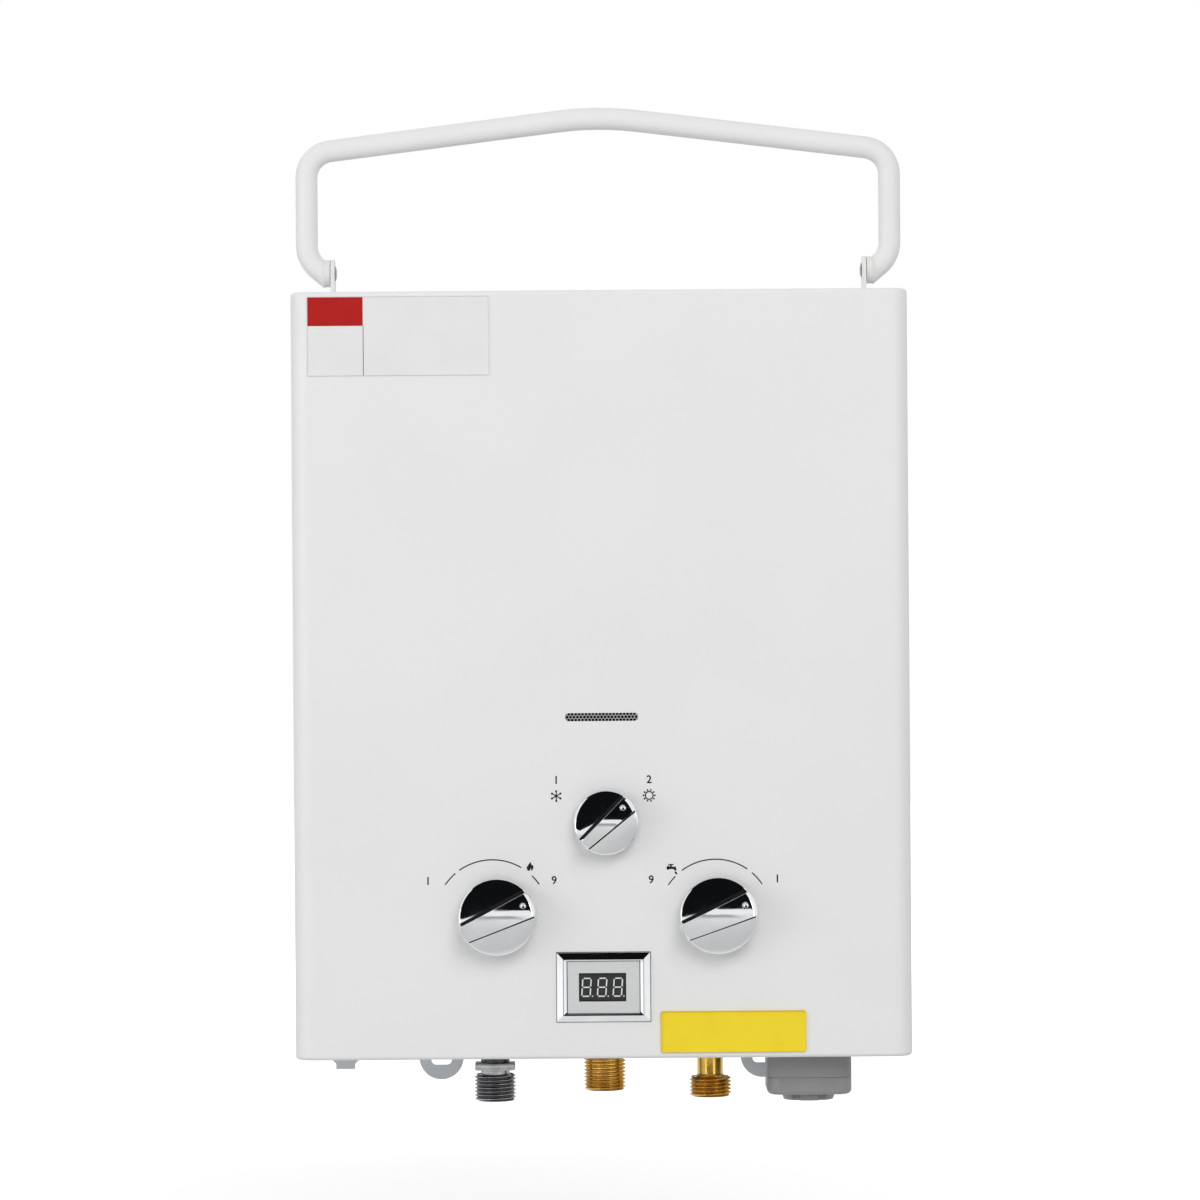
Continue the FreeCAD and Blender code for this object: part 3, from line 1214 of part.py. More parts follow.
def batteries():
    """Two D cells, each with its raised terminal."""
    cells = []
    for number in (0, 1):
        start = f"-battery_seam - cap_clear + {number} * cell_length"
        can = cylinder("cell_radius", "cell_length - terminal_height", z=start)
        cap = cylinder("terminal_radius", "cell_length", z=start)
        cells.append(fused(can, cap))
    place(group("batteries", cells), "battery_place", "-battery_depth")


def spark_controller():
    """The spark and flame controller, a box on the back plate with a row of sockets below."""
    body = new_body("spark_controller")
    box = centred(sketch(body, "XY_Plane"), "controller_width", "controller_deep")
    pad(body, box, "controller_tall")
    dress_edges(body, "Fillet", "edge_bend", lambda edge: runs_along(edge, "Z"))
    socket = rectangle(sketch(body, "XY_Plane"), "-controller_width / 2 + socket_inset",
                       "-socket_length / 2",
                       "-controller_width / 2 + socket_inset + socket_width",
                       "socket_length / 2")
    row_of(body, pocket(body, socket, "socket_depth", backwards=True), "X_Axis",
           "controller_width - 2 * socket_inset - socket_width", "socket_count")
    place(body, "-controller_place", "-plate_gauge - controller_deep / 2", "controller_low")


# ---------------------------------------------------------------- assembly

front_cover()
back_plate()
top_panel()
bottom_plate()
sight_mesh()
case_screws()
carry_handle()
handle_bracket("handle_bracket_right", "1", "0")
handle_bracket("handle_bracket_left", "-1", "180")
handle_pivots()
knob("gas_knob", "knob_radius", "knob_height", "gas_pointer_width", "gas_tail_width",
     "-gas_place", "control_height", "gas_pointer_angle")
knob("water_knob", "knob_radius", "knob_height", "gas_pointer_width", "gas_tail_width",
     "water_place", "control_height", "water_pointer_angle")
knob("season_knob", "season_knob_radius", "season_knob_height", "season_pointer_width",
     "season_tail_width", "season_place", "season_height", "season_pointer_angle")
into_valve = "case_depth - port_depth - valve_depth / 2 - spindle_seat + 2"
spindle("gas_spindle", into_valve, "-gas_place", "control_height")
spindle("water_spindle", into_valve, "water_place", "control_height")
spindle("season_spindle", "case_depth - manifold_front + 5", "season_place", "season_height")
display()
gas_inlet_fitting()
hot_water_outlet()
cold_water_inlet()
gas_valve_body()
water_valve_body()
diaphragm_parts()
push_rod()
solenoid()
rod_switch()
gas_riser()
burner_manifold()
burner_frame()
for bar in range(1, int(value("bar_count")) + 1):
    burner_bar(bar)
electrode("spark_electrode", "-bar_pitch")
electrode("flame_sensor", "bar_pitch")
exchanger_chamber()
exchanger_coil()
exchanger_fins()
water_pipe("cold_pipe", [("water_place + cold_pipe_shift", "control_height + water_valve_high"),
                         ("water_place + cold_pipe_shift", "cold_pipe_low"),
                         ("coil_side", "cold_pipe_high"),
                         ("coil_side", "coil_low - coil_stub")], "cold_pipe_bend", "cold_pipe_depth")
water_pipe("hot_pipe", [("hot_port", "elbow_top"), ("hot_port", "hot_pipe_crossing"),
                        ("-hot_pipe_place", "hot_pipe_crossing"),
                        ("-hot_pipe_place", "pass_height"), ("-pass_overrun", "pass_height")],
           "hot_pipe_bend", "hot_pipe_depth")
flue_hood()
overheat_thermostat()
battery_box()
battery_cap()
batteries()
spark_controller()
doc.recompute()

for thing in doc.Objects:
    if "Invalid" in thing.State or "Error" in thing.State:
        raise RuntimeError(f"{thing.Label} failed: {thing.State}")
for piece in pieces:
    if piece.Shape.isNull() or not piece.Shape.isValid():
        raise RuntimeError(f"{piece.Label} has no valid shape")

os.makedirs("parts", exist_ok=True)
for piece in pieces:
    piece.Shape.exportStep(os.path.join("parts", piece.Label + ".step"))
print(f"{len(pieces)} pieces written")
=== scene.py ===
import math
import bpy
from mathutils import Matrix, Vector


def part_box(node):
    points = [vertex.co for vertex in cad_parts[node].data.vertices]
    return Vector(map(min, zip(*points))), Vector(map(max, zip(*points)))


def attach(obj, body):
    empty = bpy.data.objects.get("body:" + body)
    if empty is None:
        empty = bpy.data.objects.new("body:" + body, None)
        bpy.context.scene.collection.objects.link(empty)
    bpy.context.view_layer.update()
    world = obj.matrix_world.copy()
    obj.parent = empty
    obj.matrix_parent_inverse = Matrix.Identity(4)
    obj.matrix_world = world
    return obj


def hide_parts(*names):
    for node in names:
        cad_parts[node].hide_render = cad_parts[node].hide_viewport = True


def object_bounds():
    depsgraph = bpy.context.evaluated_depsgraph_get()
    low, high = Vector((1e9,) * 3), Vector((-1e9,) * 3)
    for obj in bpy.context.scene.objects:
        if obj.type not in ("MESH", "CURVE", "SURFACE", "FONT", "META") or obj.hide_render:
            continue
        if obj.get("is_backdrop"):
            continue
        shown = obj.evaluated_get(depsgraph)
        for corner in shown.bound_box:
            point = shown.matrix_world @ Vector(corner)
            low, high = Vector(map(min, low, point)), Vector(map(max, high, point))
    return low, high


# A portable propane water heater: the studio round it first, then the sheet case, what is fixed
# on its face, the ports below it, the hardware of the handle, and the works inside.
# Lengths are in metres, in the part's own frame: X right, Y into the wall, Z up, origin at the
# keyhole that the heater hangs by.

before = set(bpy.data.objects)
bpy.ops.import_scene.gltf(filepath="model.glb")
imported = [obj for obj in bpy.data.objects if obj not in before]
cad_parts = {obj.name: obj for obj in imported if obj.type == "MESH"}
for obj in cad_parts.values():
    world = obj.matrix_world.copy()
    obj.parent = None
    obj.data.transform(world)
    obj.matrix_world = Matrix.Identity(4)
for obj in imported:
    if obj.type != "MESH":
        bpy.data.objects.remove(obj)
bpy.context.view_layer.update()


# ------------------------------------------------ studio floor and camera
# A pale seamless floor well below the hanging heater, under a white world. The camera stands
# 2.5 m from the case's front, a little above its middle, rolled by less than half a degree.

def linear(code):
    """A colour written as sRGB hex, as linear values with alpha."""
    parts = [int(code[start:start + 2], 16) / 255 for start in (0, 2, 4)]
    return [part / 12.92 if part <= 0.04045 else ((part + 0.055) / 1.055) ** 2.4
            for part in parts] + [1.0]


def node(tree, kind, inputs=None, **settings):
    """Adds a shader node with its settings; an input takes a value or another node's output."""
    made = tree.nodes.new("ShaderNode" + kind)
    for name, setting in settings.items():
        setattr(made, name, setting)
    for name, source in (inputs or {}).items():
        if isinstance(source, bpy.types.NodeSocket):
            tree.links.new(source, made.inputs[name])
        else:
            made.inputs[name].default_value = source
    return made


def empty_material(name):
    made = bpy.data.materials.new(name)
    made.use_nodes = True
    made.node_tree.nodes.clear()
    return made, made.node_tree


def start_piece():
    """Leaves nothing selected, so that the next operator acts on the new piece alone."""
    if bpy.context.object and bpy.context.object.mode == "EDIT":
        bpy.ops.object.mode_set(mode="OBJECT")
    bpy.ops.object.select_all(action="DESELECT")


def apply_place():
    """Moves the active piece's place, turn and scale into its mesh."""
    bpy.ops.object.transform_apply(location=True, rotation=True, scale=True)


case_low, case_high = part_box("front_cover")
floor_height = case_low.z - 0.12

start_piece()
bpy.ops.mesh.primitive_plane_add(size=12, location=(0, 0, floor_height))
floor = bpy.context.object
floor.name = "studio_floor"
apply_place()
floor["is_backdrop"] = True
# Matt white paper that also glows towards the camera, little near the heater and more far off
# where the lamps don't reach, so that it joins the white backdrop and still shows the heater's
# soft shadow. Shiny surfaces see it glow under the heater and far out to both sides.
paper, tree = empty_material("matt_white_paper")
diffuse = node(tree, "BsdfDiffuse", {"Color": linear("D8D8D8")})
place = node(tree, "TexCoord").outputs["Object"]
reach = node(tree, "VectorMath", {0: place}, operation="LENGTH")
aside = node(tree, "Math", {0: node(tree, "SeparateXYZ", {0: place}).outputs["X"]},
             operation="ABSOLUTE")
camera_glow = node(tree, "MapRange", {0: reach.outputs["Value"], 1: 0.7, 2: 2.4, 3: 0.42, 4: 0.85})
path = node(tree, "LightPath")
near_glow = node(tree, "MapRange", {0: reach.outputs["Value"], 1: 0.50, 2: 0.62, 3: 0.28, 4: 0.0})
side_glow = node(tree, "MapRange", {0: aside.outputs[0], 1: 0.7, 2: 1.4, 3: 0.0, 4: 0.5})
gloss_glow = node(tree, "Math", {0: near_glow.outputs[0], 1: side_glow.outputs[0]},
                  operation="MAXIMUM")
glow_level = node(tree, "MapRange", {0: path.outputs["Is Camera Ray"], 3: gloss_glow.outputs[0],
                                     4: camera_glow.outputs[0]})
glow = node(tree, "Emission", {"Color": linear("FFFFFF"), "Strength": glow_level.outputs[0]})
both = node(tree, "AddShader", {0: diffuse.outputs[0], 1: glow.outputs[0]})
seen = node(tree, "Math", {0: path.outputs["Is Camera Ray"],
                           1: path.outputs["Is Glossy Ray"]}, operation="MAXIMUM")
mix = node(tree, "MixShader", {0: seen.outputs[0], 1: diffuse.outputs[0], 2: both.outputs[0]})
node(tree, "OutputMaterial", {"Surface": mix.outputs[0]})
floor.data.materials.append(paper)

# The world is full white to the camera and to shiny or clear surfaces, and dimmer as a light.
world = bpy.data.worlds.new("white_studio")
bpy.context.scene.world = world
world.use_nodes = True
tree = world.node_tree
tree.nodes.clear()
path = node(tree, "LightPath")
seen = node(tree, "Math", {0: path.outputs["Is Camera Ray"],
                           1: path.outputs["Is Glossy Ray"]}, operation="MAXIMUM")
seen = node(tree, "Math", {0: seen.outputs[0],
                           1: path.outputs["Is Transmission Ray"]}, operation="MAXIMUM")
fill_level = 0.56
level = node(tree, "MapRange", {0: seen.outputs[0], 3: fill_level, 4: 1.0})
sky = node(tree, "Background", {"Color": linear("FFFFFF"), "Strength": level.outputs[0]})
node(tree, "OutputWorld", {"Surface": sky.outputs[0]})

image_width = 1200
view_distance = 2.5
front_scale = 0.0004915  # metres of the case's front that one image pixel covers
optical_height = 0.2255  # above the case's bottom edge
optical_offset = -0.00037  # across from the middle of the case
roll = math.radians(0.42)
sensor_width = 36
start_piece()
bpy.ops.object.camera_add(location=(optical_offset, case_low.y - view_distance,
                                    case_low.z + optical_height),
                          rotation=(math.pi / 2, roll, 0))
camera = bpy.context.object
camera.name = "camera"
camera.data.sensor_width = sensor_width
camera.data.lens = sensor_width * view_distance / (image_width * front_scale)
bpy.context.scene.camera = camera
bpy.context.scene.view_settings.view_transform = "Standard"

# A large soft box over the camera, a weaker one at the left, and one behind for the back.
for name, place, aim, size, power in (
        ("key_soft_box", (0.45, -2.3, 1.2), (0, -0.1, -0.15), 1.8, 27),
        ("side_soft_box", (-1.9, -1.5, 0.3), (0, -0.1, -0.15), 1.4, 11),
        ("rear_soft_box", (-0.9, 2.2, 0.9), (0, 0, -0.15), 1.8, 22)):
    start_piece()
    turn = (Vector(aim) - Vector(place)).to_track_quat("-Z", "Y").to_euler()
    bpy.ops.object.light_add(type="AREA", location=place, rotation=turn)
    lamp = bpy.context.object
    lamp.name = name
    lamp.data.shape = "DISK"
    lamp.data.size = size
    lamp.data.energy = power
    lamp.visible_glossy = False


def even_light(name, colour, strength):
    made, tree = empty_material(name)
    light = node(tree, "Emission", {"Color": linear(colour), "Strength": strength})
    node(tree, "OutputMaterial", {"Surface": light.outputs[0]})
    return made


def reflected_plane(name, place, size, turn, material):
    """A flat studio piece that is seen only as a reflection in shiny surfaces."""
    start_piece()
    bpy.ops.mesh.primitive_plane_add(size=1, location=place, rotation=turn)
    plane = bpy.context.object
    plane.name = name
    plane.scale = (*size, 1)
    apply_place()
    plane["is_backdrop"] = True
    for ray in ("camera", "diffuse", "shadow", "transmission"):
        setattr(plane, "visible_" + ray, False)
    plane.data.materials.append(material)


# Two black flags: one behind the camera, above its height, and one overhead. The plated knobs
# and the display's frame look dark where they face upwards and show them.
black_cloth = even_light("black_cloth", "101112", 1.0)
reflected_plane("rear_black_flag", (0, -3.6, 1.14), (4.6, 2.52), (math.pi / 2, 0, 0), black_cloth)
reflected_plane("top_black_flag", (0, -2.1, 2.4), (4.6, 3.0), (math.pi, 0, 0), black_cloth)

# Two white strips beside the camera draw the two upright highlights down each port.
white_card = even_light("white_card", "FFFFFF", 4.0)
for name, side in (("white_strip_left", -1), ("white_strip_right", 1)):
    reflected_plane(name, (side * 1.9, -2.6, 0.0), (0.35, 0.9), (math.pi / 2, 0, side * 0.6),
                    white_card)


# ------------------------------------------------ case
# The cover is one steel sheet, bent round both sides and folded in at the ends; the panel with
# the flue slots closes its top. Both are powder coated in white and baked.

def coordinates(tree):
    return node(tree, "TexCoord").outputs["Object"]


def noise(tree, size, detail=2.0):
    """Object-space noise whose main lumps are about a size in metres."""
    return node(tree, "TexNoise", {"Vector": coordinates(tree), "Scale": 1 / size,
                                   "Detail": detail, "Roughness": 0.5})


def streaks(tree, scale):
    """Noise drawn out along the axes of low scale, as brushing and turning leave it."""
    stretched = node(tree, "Mapping", {"Vector": coordinates(tree), "Scale": scale})
    return node(tree, "TexNoise", {"Vector": stretched.outputs[0], "Scale": 1.0})


def between(tree, source, low, high, from_low=0.3, from_high=0.7):
    """Spreads a pattern's middle range between two values."""
    return node(tree, "MapRange", {0: source, 1: from_low, 2: from_high, 3: low, 4: high})


def blended(tree, source, first, second):
    """One colour where a pattern is low, another where it is high."""
    factor = between(tree, source, 0.0, 1.0)
    return node(tree, "Mix", {0: factor.outputs[0], 6: linear(first), 7: linear(second)},
                data_type="RGBA").outputs[2]


def bump(tree, source, depth):
    return node(tree, "Bump", {"Height": source, "Distance": depth, "Strength": 1.0})


def surface(tree, **inputs):
    """The shader and the output; underscores in the names stand for spaces."""
    named = {name.replace("_", " "): source for name, source in inputs.items()}
    shader = node(tree, "BsdfPrincipled", named)
    node(tree, "OutputMaterial", {"Surface": shader.outputs[0]})


def nonmetal(name, size, first, second, roughness, ior, detail=2.0):
    """A material of even gloss, its colour drifting between two shades in lumps of a size."""
    made, tree = empty_material(name)
    drift = noise(tree, size, detail)
    surface(tree, Base_Color=blended(tree, drift.outputs[0], first, second), Roughness=roughness,
            IOR=ior)
    return made


def metal(name, size, first, second, low_rough, high_rough, detail=2.0):
    """A bare or plated metal whose shade and gloss drift together, as rolling and wear leave it."""
    made, tree = empty_material(name)
    drift = noise(tree, size, detail)
    surface(tree, Base_Color=blended(tree, drift.outputs[0], first, second), Metallic=1.0,
            Roughness=between(tree, drift.outputs[0], low_rough, high_rough).outputs[0])
    return made


def coat(material, *names):
    """Gives the CAD pieces of these names a material."""
    for name in names:
        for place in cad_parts[name].material_slots:
            place.material = material


# Polyester powder coat, sprayed dry and baked: white, half matt, with the faint orange peel
# that the powder leaves as it flows out.
powder_coat, tree = empty_material("white_powder_coat")
peel = noise(tree, 0.0012, 1.0)
drift = noise(tree, 0.06, 1.0)
surface(tree, Base_Color=blended(tree, drift.outputs[0], "E4E4E4", "E6E6E6"),
        Roughness=between(tree, peel.outputs[0], 0.40, 0.48).outputs[0], IOR=1.5,
        Normal=bump(tree, peel.outputs[0], 0.000006).outputs[0])
coat(powder_coat, "front_cover", "top_panel", "handle_bracket_right", "handle_bracket_left",
     "carry_handle")


# ------------------------------------------------ dial marks
# Screen-printed in black on the cover: an arc and two dashes round each large knob, plain
# numbers at the ends of travel, and small pictures for flame, tap, cold and warm season.

ink_thickness = 0.00004
face = case_low.y  # the cover's front plane


def on_front(across, up):
    """A point of the cover's front, from millimetres across and above its bottom edge."""
    return Vector((across / 1000, face, case_low.z + up / 1000))


def heading(angle):
    """The direction at an angle, in degrees from the right, in the front's plane."""
    return Vector((math.cos(math.radians(angle)), 0, math.sin(math.radians(angle))))


def join(name, made):
    """Joins finished pieces into one object with its place in its mesh."""
    start_piece()
    for part in made:
        part.select_set(True)
    bpy.context.view_layer.objects.active = made[0]
    if len(made) > 1:
        bpy.ops.object.join()
    apply_place()
    made[0].name = name
    return made[0]


def pick(piece):
    """Makes a finished piece the active one and selects it alone."""
    start_piece()
    piece.select_set(True)
    bpy.context.view_layer.objects.active = piece


def close_mesh():
    bpy.ops.object.mode_set(mode="OBJECT")


def open_mesh():
    """Opens the active piece in edit mode with all of it selected."""
    bpy.ops.object.mode_set(mode="EDIT")
    bpy.ops.mesh.select_all(action="SELECT")


def close_solid():
    """Turns every face of the open mesh outwards and leaves edit mode."""
    bpy.ops.mesh.select_all(action="SELECT")
    bpy.ops.mesh.normals_make_consistent(inside=False)
    close_mesh()


def edit_where(piece, test):
    """Opens a piece in edit mode with only the vertices selected that pass a test."""
    pick(piece)
    bpy.ops.object.mode_set(mode="EDIT")
    bpy.ops.mesh.select_mode(type="VERT")
    bpy.ops.mesh.select_all(action="DESELECT")
    close_mesh()
    for vertex in piece.data.vertices:
        vertex.select = test(vertex.co)
    bpy.ops.object.mode_set(mode="EDIT")


def arc_mark(centre, radius, start, end, width):
    """A short edge across the line, spun round the dial's centre."""
    start_piece()
    first = centre + Vector((radius * math.cos(start), 0, radius * math.sin(start)))
    tangent = Vector((-math.sin(start), 0, math.cos(start)))
    bpy.ops.mesh.primitive_plane_add(size=width, location=first,
                                     rotation=(math.pi / 2, -start, 0))
    apply_place()
    arc = bpy.context.object
    edit_where(arc, lambda point: (point - first).dot(tangent) < 0)
    bpy.ops.mesh.delete(type="VERT")
    bpy.ops.mesh.select_all(action="SELECT")
    bpy.ops.mesh.spin(steps=max(6, int(math.degrees(end - start) / 2)), angle=end - start,
                      center=centre, axis=(0, 1, 0))
    close_mesh()
    return arc


def bar_mark(centre, length, width, angle):
    """A straight stroke of even width, lying in the front's plane at an angle."""
    start_piece()
    bpy.ops.mesh.primitive_plane_add(size=1, location=centre, rotation=(math.pi / 2, -angle, 0))
    stroke = bpy.context.object
    stroke.scale = (length, width, 1)
    apply_place()
    return stroke


def dot_mark(centre, radius, corners=16):
    start_piece()
    bpy.ops.mesh.primitive_circle_add(vertices=corners, radius=radius, fill_type="NGON",
                                      location=centre, rotation=(math.pi / 2, 0, 0))
    apply_place()
    return bpy.context.object


number_height = 0.0038
digit_share = 0.7  # a digit's height within the size of the letters
bolder = 0.00009  # how much each stroke is spread outwards


def number_mark(text, centre):
    """A plain number in the program's own sans letterforms, centred on a point."""
    start_piece()
    bpy.ops.object.text_add(location=centre, rotation=(math.pi / 2, 0, 0))
    label = bpy.context.object
    label.data.body = text
    label.data.size = number_height / digit_share
    label.data.offset = bolder
    label.data.align_x = "CENTER"
    label.data.align_y = "CENTER"
    bpy.ops.object.convert(target="MESH")
    apply_place()
    return label


def give(piece, material):
    """Makes a material the piece's only one."""
    piece.data.materials.clear()
    piece.data.materials.append(material)


def print_on(name, made, material):
    """Joins flat marks, gives them the ink's thickness outwards, and fixes them to the case."""
    mark = join(name, made)
    open_mesh()
    bpy.ops.mesh.remove_doubles(threshold=0.000002)
    bpy.ops.mesh.normals_make_consistent(inside=False)
    bpy.ops.mesh.extrude_region_move(TRANSFORM_OT_translate={"value": (0, -ink_thickness, 0)})
    close_solid()
    give(mark, material)
    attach(mark, "case")


# Solvent screen ink: near black, dull, a little uneven where the mesh laid it down.
screen_ink = nonmetal("black_screen_ink", 0.0006, "0E0E10", "161618", 0.55, 1.45)

line = 0.0006
# Millimetres above the case's bottom edge, then across from its middle.
dial_level, number_level, season_level, picture_level = 70.2, 87.8, 137, 129.3
cold_side, warm_side = -22.6, 23.1
for dial, across, radius, spans, numbers in (
        ("gas", -54.4, 0.028, ((33.8, 45.1), (58.5, 124.4), (129.6, 144.8)), ("1", "9")),
        ("water", 55.3, 0.0275, ((32.7, 48.5), (54.6, 125.9), (135.0, 146.4)), ("9", "1"))):
    centre = on_front(across, dial_level)
    arcs = [arc_mark(centre, radius, math.radians(start), math.radians(end), line)
            for start, end in spans]
    print_on(f"{dial}_scale_lines", arcs, screen_ink)
    ends = [number_mark(numbers[0], on_front(across - 31.5, number_level)),
            number_mark(numbers[1], on_front(across + 30.5, number_level))]
    print_on(f"{dial}_scale_numbers", ends, screen_ink)
print_on("season_numbers", [number_mark("1", on_front(cold_side, season_level)),
                            number_mark("2", on_front(warm_side, season_level))], screen_ink)

# The flame: a leaning tongue with a hollow at its foot. Its outline runs round from the foot of
# the hollow, in millimetres across and up.
flame_outline = ((0.1, -0.9), (0.55, -0.2), (0.35, -1.7), (1.1, -1.3), (1.6, -0.4), (1.6, 0.6),
                 (1.0, 1.5), (0.9, 0.9), (0.45, 2.0), (0.5, 2.7), (-0.3, 2.1), (-1.0, 1.1),
                 (-1.6, 0.2), (-1.6, -0.8), (-1.1, -1.5), (-0.4, -1.7))
flame_place = on_front(-35.7, 94.3)
flame = dot_mark(flame_place, 0.0017, len(flame_outline))
for vertex, (across, up) in zip(flame.data.vertices, flame_outline):
    vertex.co = flame_place + Vector((across, 0, up)) / 1000
print_on("flame_mark", [flame], screen_ink)

# The tap: body, spout, stem and cross handle as strokes, and a drop.
tap_place = on_front(34.0, 93.6)
strokes = []
for across, up, length, width in ((-0.3, 0.0, 4.6, 1.2), (-1.9, 0.0, 0.8, 1.9),
                                  (-0.5, 1.0, 0.9, 1.0), (-0.5, 1.6, 2.6, 0.6),
                                  (1.6, -0.8, 1.2, 1.0)):
    place = tap_place + Vector((across, 0, up)) / 1000
    strokes.append(bar_mark(place, length / 1000, width / 1000, 0))
strokes.append(bar_mark(tap_place + Vector((2.0, 0, -2.5)) / 1000, 0.0015, 0.0009, 2.2))
print_on("tap_mark", strokes, screen_ink)

# The snowflake: three crossed strokes with a dot on each tip.
snow_place = on_front(cold_side, picture_level)
strokes = [bar_mark(snow_place, 0.0048, 0.00055, math.radians(turn)) for turn in (30, 90, 150)]
for turn in range(30, 390, 60):
    strokes.append(dot_mark(snow_place + heading(turn) * 0.0024, 0.00055, 10))
print_on("snowflake_mark", strokes, screen_ink)

# The sun: a ring with dots round it.
sun_place = on_front(warm_side, picture_level)
strokes = [arc_mark(sun_place, 0.0019, 0, 2 * math.pi, line)]
for turn in range(0, 360, 36):
    strokes.append(dot_mark(sun_place + heading(turn) * 0.0028, 0.00045, 10))
print_on("sun_mark", strokes, screen_ink)


# ------------------------------------------------ labels
# Two stickers cut from vinyl film, rubbed on by hand. Neither carries words: the upper one has
# its plain red corner and a rule, the lower one is plain yellow.

def block(name, middle, size, rotation=(0, 0, 0)):
    """A plain box of a size round a point."""
    start_piece()
    bpy.ops.mesh.primitive_cube_add(size=1, location=middle, rotation=rotation)
    made = bpy.context.object
    made.name = name
    made.scale = size
    apply_place()
    return made


def film(name, low, high, corner, thickness, material, back=face):
    """A thin plate in the front's plane between two points, its corners rounded by a radius."""
    middle = (low + high) / 2
    made = block(name, (middle.x, back - thickness / 2, middle.z),
                 (high.x - low.x, thickness, high.z - low.z))
    if corner:
        for edge in made.data.edges:
            ends = [made.data.vertices[number].co for number in edge.vertices]
            edge.select = abs(ends[0].y - ends[1].y) > thickness / 2
        bpy.ops.object.mode_set(mode="EDIT")
        bpy.ops.mesh.select_mode(type="EDGE")
        bpy.ops.mesh.bevel(offset=corner, segments=6)
        close_mesh()
    made.data.materials.append(material)
    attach(made, "case")


def vinyl(name, first, second):
    """Printed vinyl film with a clear gloss laminate, a little wavy where it was rubbed on."""
    made, tree = empty_material(name)
    waves = noise(tree, 0.012)
    surface(tree, Base_Color=blended(tree, waves.outputs[0], first, second), Roughness=0.32,
            IOR=1.46, Coat_Weight=0.3, Coat_Roughness=0.2,
            Normal=bump(tree, waves.outputs[0], 0.00001).outputs[0])
    return made


white_vinyl = vinyl("white_vinyl_film", "E2E2E2", "E5E5E5")
red_vinyl = vinyl("red_vinyl_print", "AE0E0A", "B4120E")
yellow_vinyl = vinyl("yellow_vinyl_film", "EFD30C", "F2D812")
film_thickness = 0.0001
film_front = face - film_thickness
label_left, label_right, label_bottom, label_top = -143.4, -54.2, 336.6, 375.4
corner_right, corner_bottom, rule_width = -116.0, 361.1, 0.3
film("plain_label", on_front(label_left, label_bottom), on_front(label_right, label_top), 0.0006,
     film_thickness, white_vinyl)
film("plain_label_corner", on_front(label_left, corner_bottom), on_front(corner_right, label_top),
     0, ink_thickness, red_vinyl, back=film_front)
film("plain_label_rule", on_front(corner_right, label_bottom),
     on_front(corner_right + rule_width, corner_bottom), 0, ink_thickness, screen_ink,
     back=film_front)
film("yellow_label", on_front(27.9, 3.0), on_front(99.3, 23.2), 0.0012, film_thickness,
     yellow_vinyl)


# ------------------------------------------------ sight mesh
# A strip of perforated stainless steel behind the sight slot, punched with three staggered rows
# of round holes at 1.7 mm pitch where the flames are watched.

mesh_low, mesh_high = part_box("sight_mesh")
mesh_middle = (mesh_low + mesh_high) / 2
strip = block("perforated_sight_strip", mesh_middle, mesh_high - mesh_low)
punches = []
pitch, row_gap, hole_radius, punch_depth = 0.0017, 0.00145, 0.00070, 0.004
holes_aside = 11  # to each side of the middle one
for row in (-1, 0, 1):
    for column in range(-holes_aside, holes_aside + 1):
        start_piece()
        across = (column + (0.5 if row else 0)) * pitch
        place = mesh_middle + Vector((across, 0, row * row_gap))
        bpy.ops.mesh.primitive_cylinder_add(vertices=10, radius=hole_radius, depth=punch_depth,
                                            location=place, rotation=(math.pi / 2, 0, 0))
        punches.append(bpy.context.object)
punch = join("punch", punches)


def cut(piece, tool, operation="DIFFERENCE"):
    """Applies a boolean with a tool, which is then thrown away."""
    pick(piece)
    change = piece.modifiers.new("cut", "BOOLEAN")
    change.object = tool
    change.operation = operation
    change.solver = "EXACT"
    bpy.ops.object.modifier_apply(modifier=change.name)
    bpy.data.objects.remove(tool)


cut(strip, punch)
# Stainless steel sheet as rolled: grey, satin, a little uneven in shade.
stainless = metal("stainless_sheet", 0.008, "D6D8DA", "E2E4E6", 0.50, 0.60)
strip.data.materials.append(stainless)
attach(strip, "case")
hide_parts("sight_mesh")


# ------------------------------------------------ knobs
# Three knobs moulded in plastic and plated with bright chrome. Each is a low dome with a
# tapering grip bar across it, whose front is a higher dome, and a dimple at the pointer's end.

def turned(name, centre, axis, profile, steps):
    """Spins a profile, pairs of radius and reach along an axis, into a closed solid."""
    side = Vector((0, 0, 1)) if abs(axis.x) > 0.5 else Vector((1, 0, 0))
    points = [centre + side * radius + axis * reach for radius, reach in profile]
    start_piece()
    bpy.ops.mesh.primitive_plane_add(size=0.001, location=points[0])
    apply_place()
    made = bpy.context.object
    made.name = name
    bpy.ops.object.mode_set(mode="EDIT")
    bpy.ops.mesh.select_mode(type="VERT")
    bpy.ops.mesh.select_all(action="SELECT")
    bpy.ops.mesh.merge(type="CENTER")
    for before, after in zip(points, points[1:]):
        bpy.ops.mesh.extrude_region_move(TRANSFORM_OT_translate={"value": after - before})
    bpy.ops.mesh.select_all(action="SELECT")
    bpy.ops.mesh.spin(steps=steps, angle=2 * math.pi, center=centre, axis=axis)
    bpy.ops.mesh.select_all(action="SELECT")
    bpy.ops.mesh.remove_doubles(threshold=0.000002)
    close_solid()
    return made


def round_block(radius, front, rim, back):
    """Half the outline of a round block: a flat front in ten rings, a round rim, a side."""
    flat = radius - rim
    rings = [(flat * step / 10, front) for step in range(11)]
    bend = [(flat + rim * math.sin(math.radians(turn)),
             front - rim * (1 - math.cos(math.radians(turn)))) for turn in (30, 60, 90)]
    return rings + bend + [(radius, back)]


def smooth(piece, degrees=30):
    pick(piece)
    bpy.ops.object.shade_smooth_by_angle(angle=math.radians(degrees))


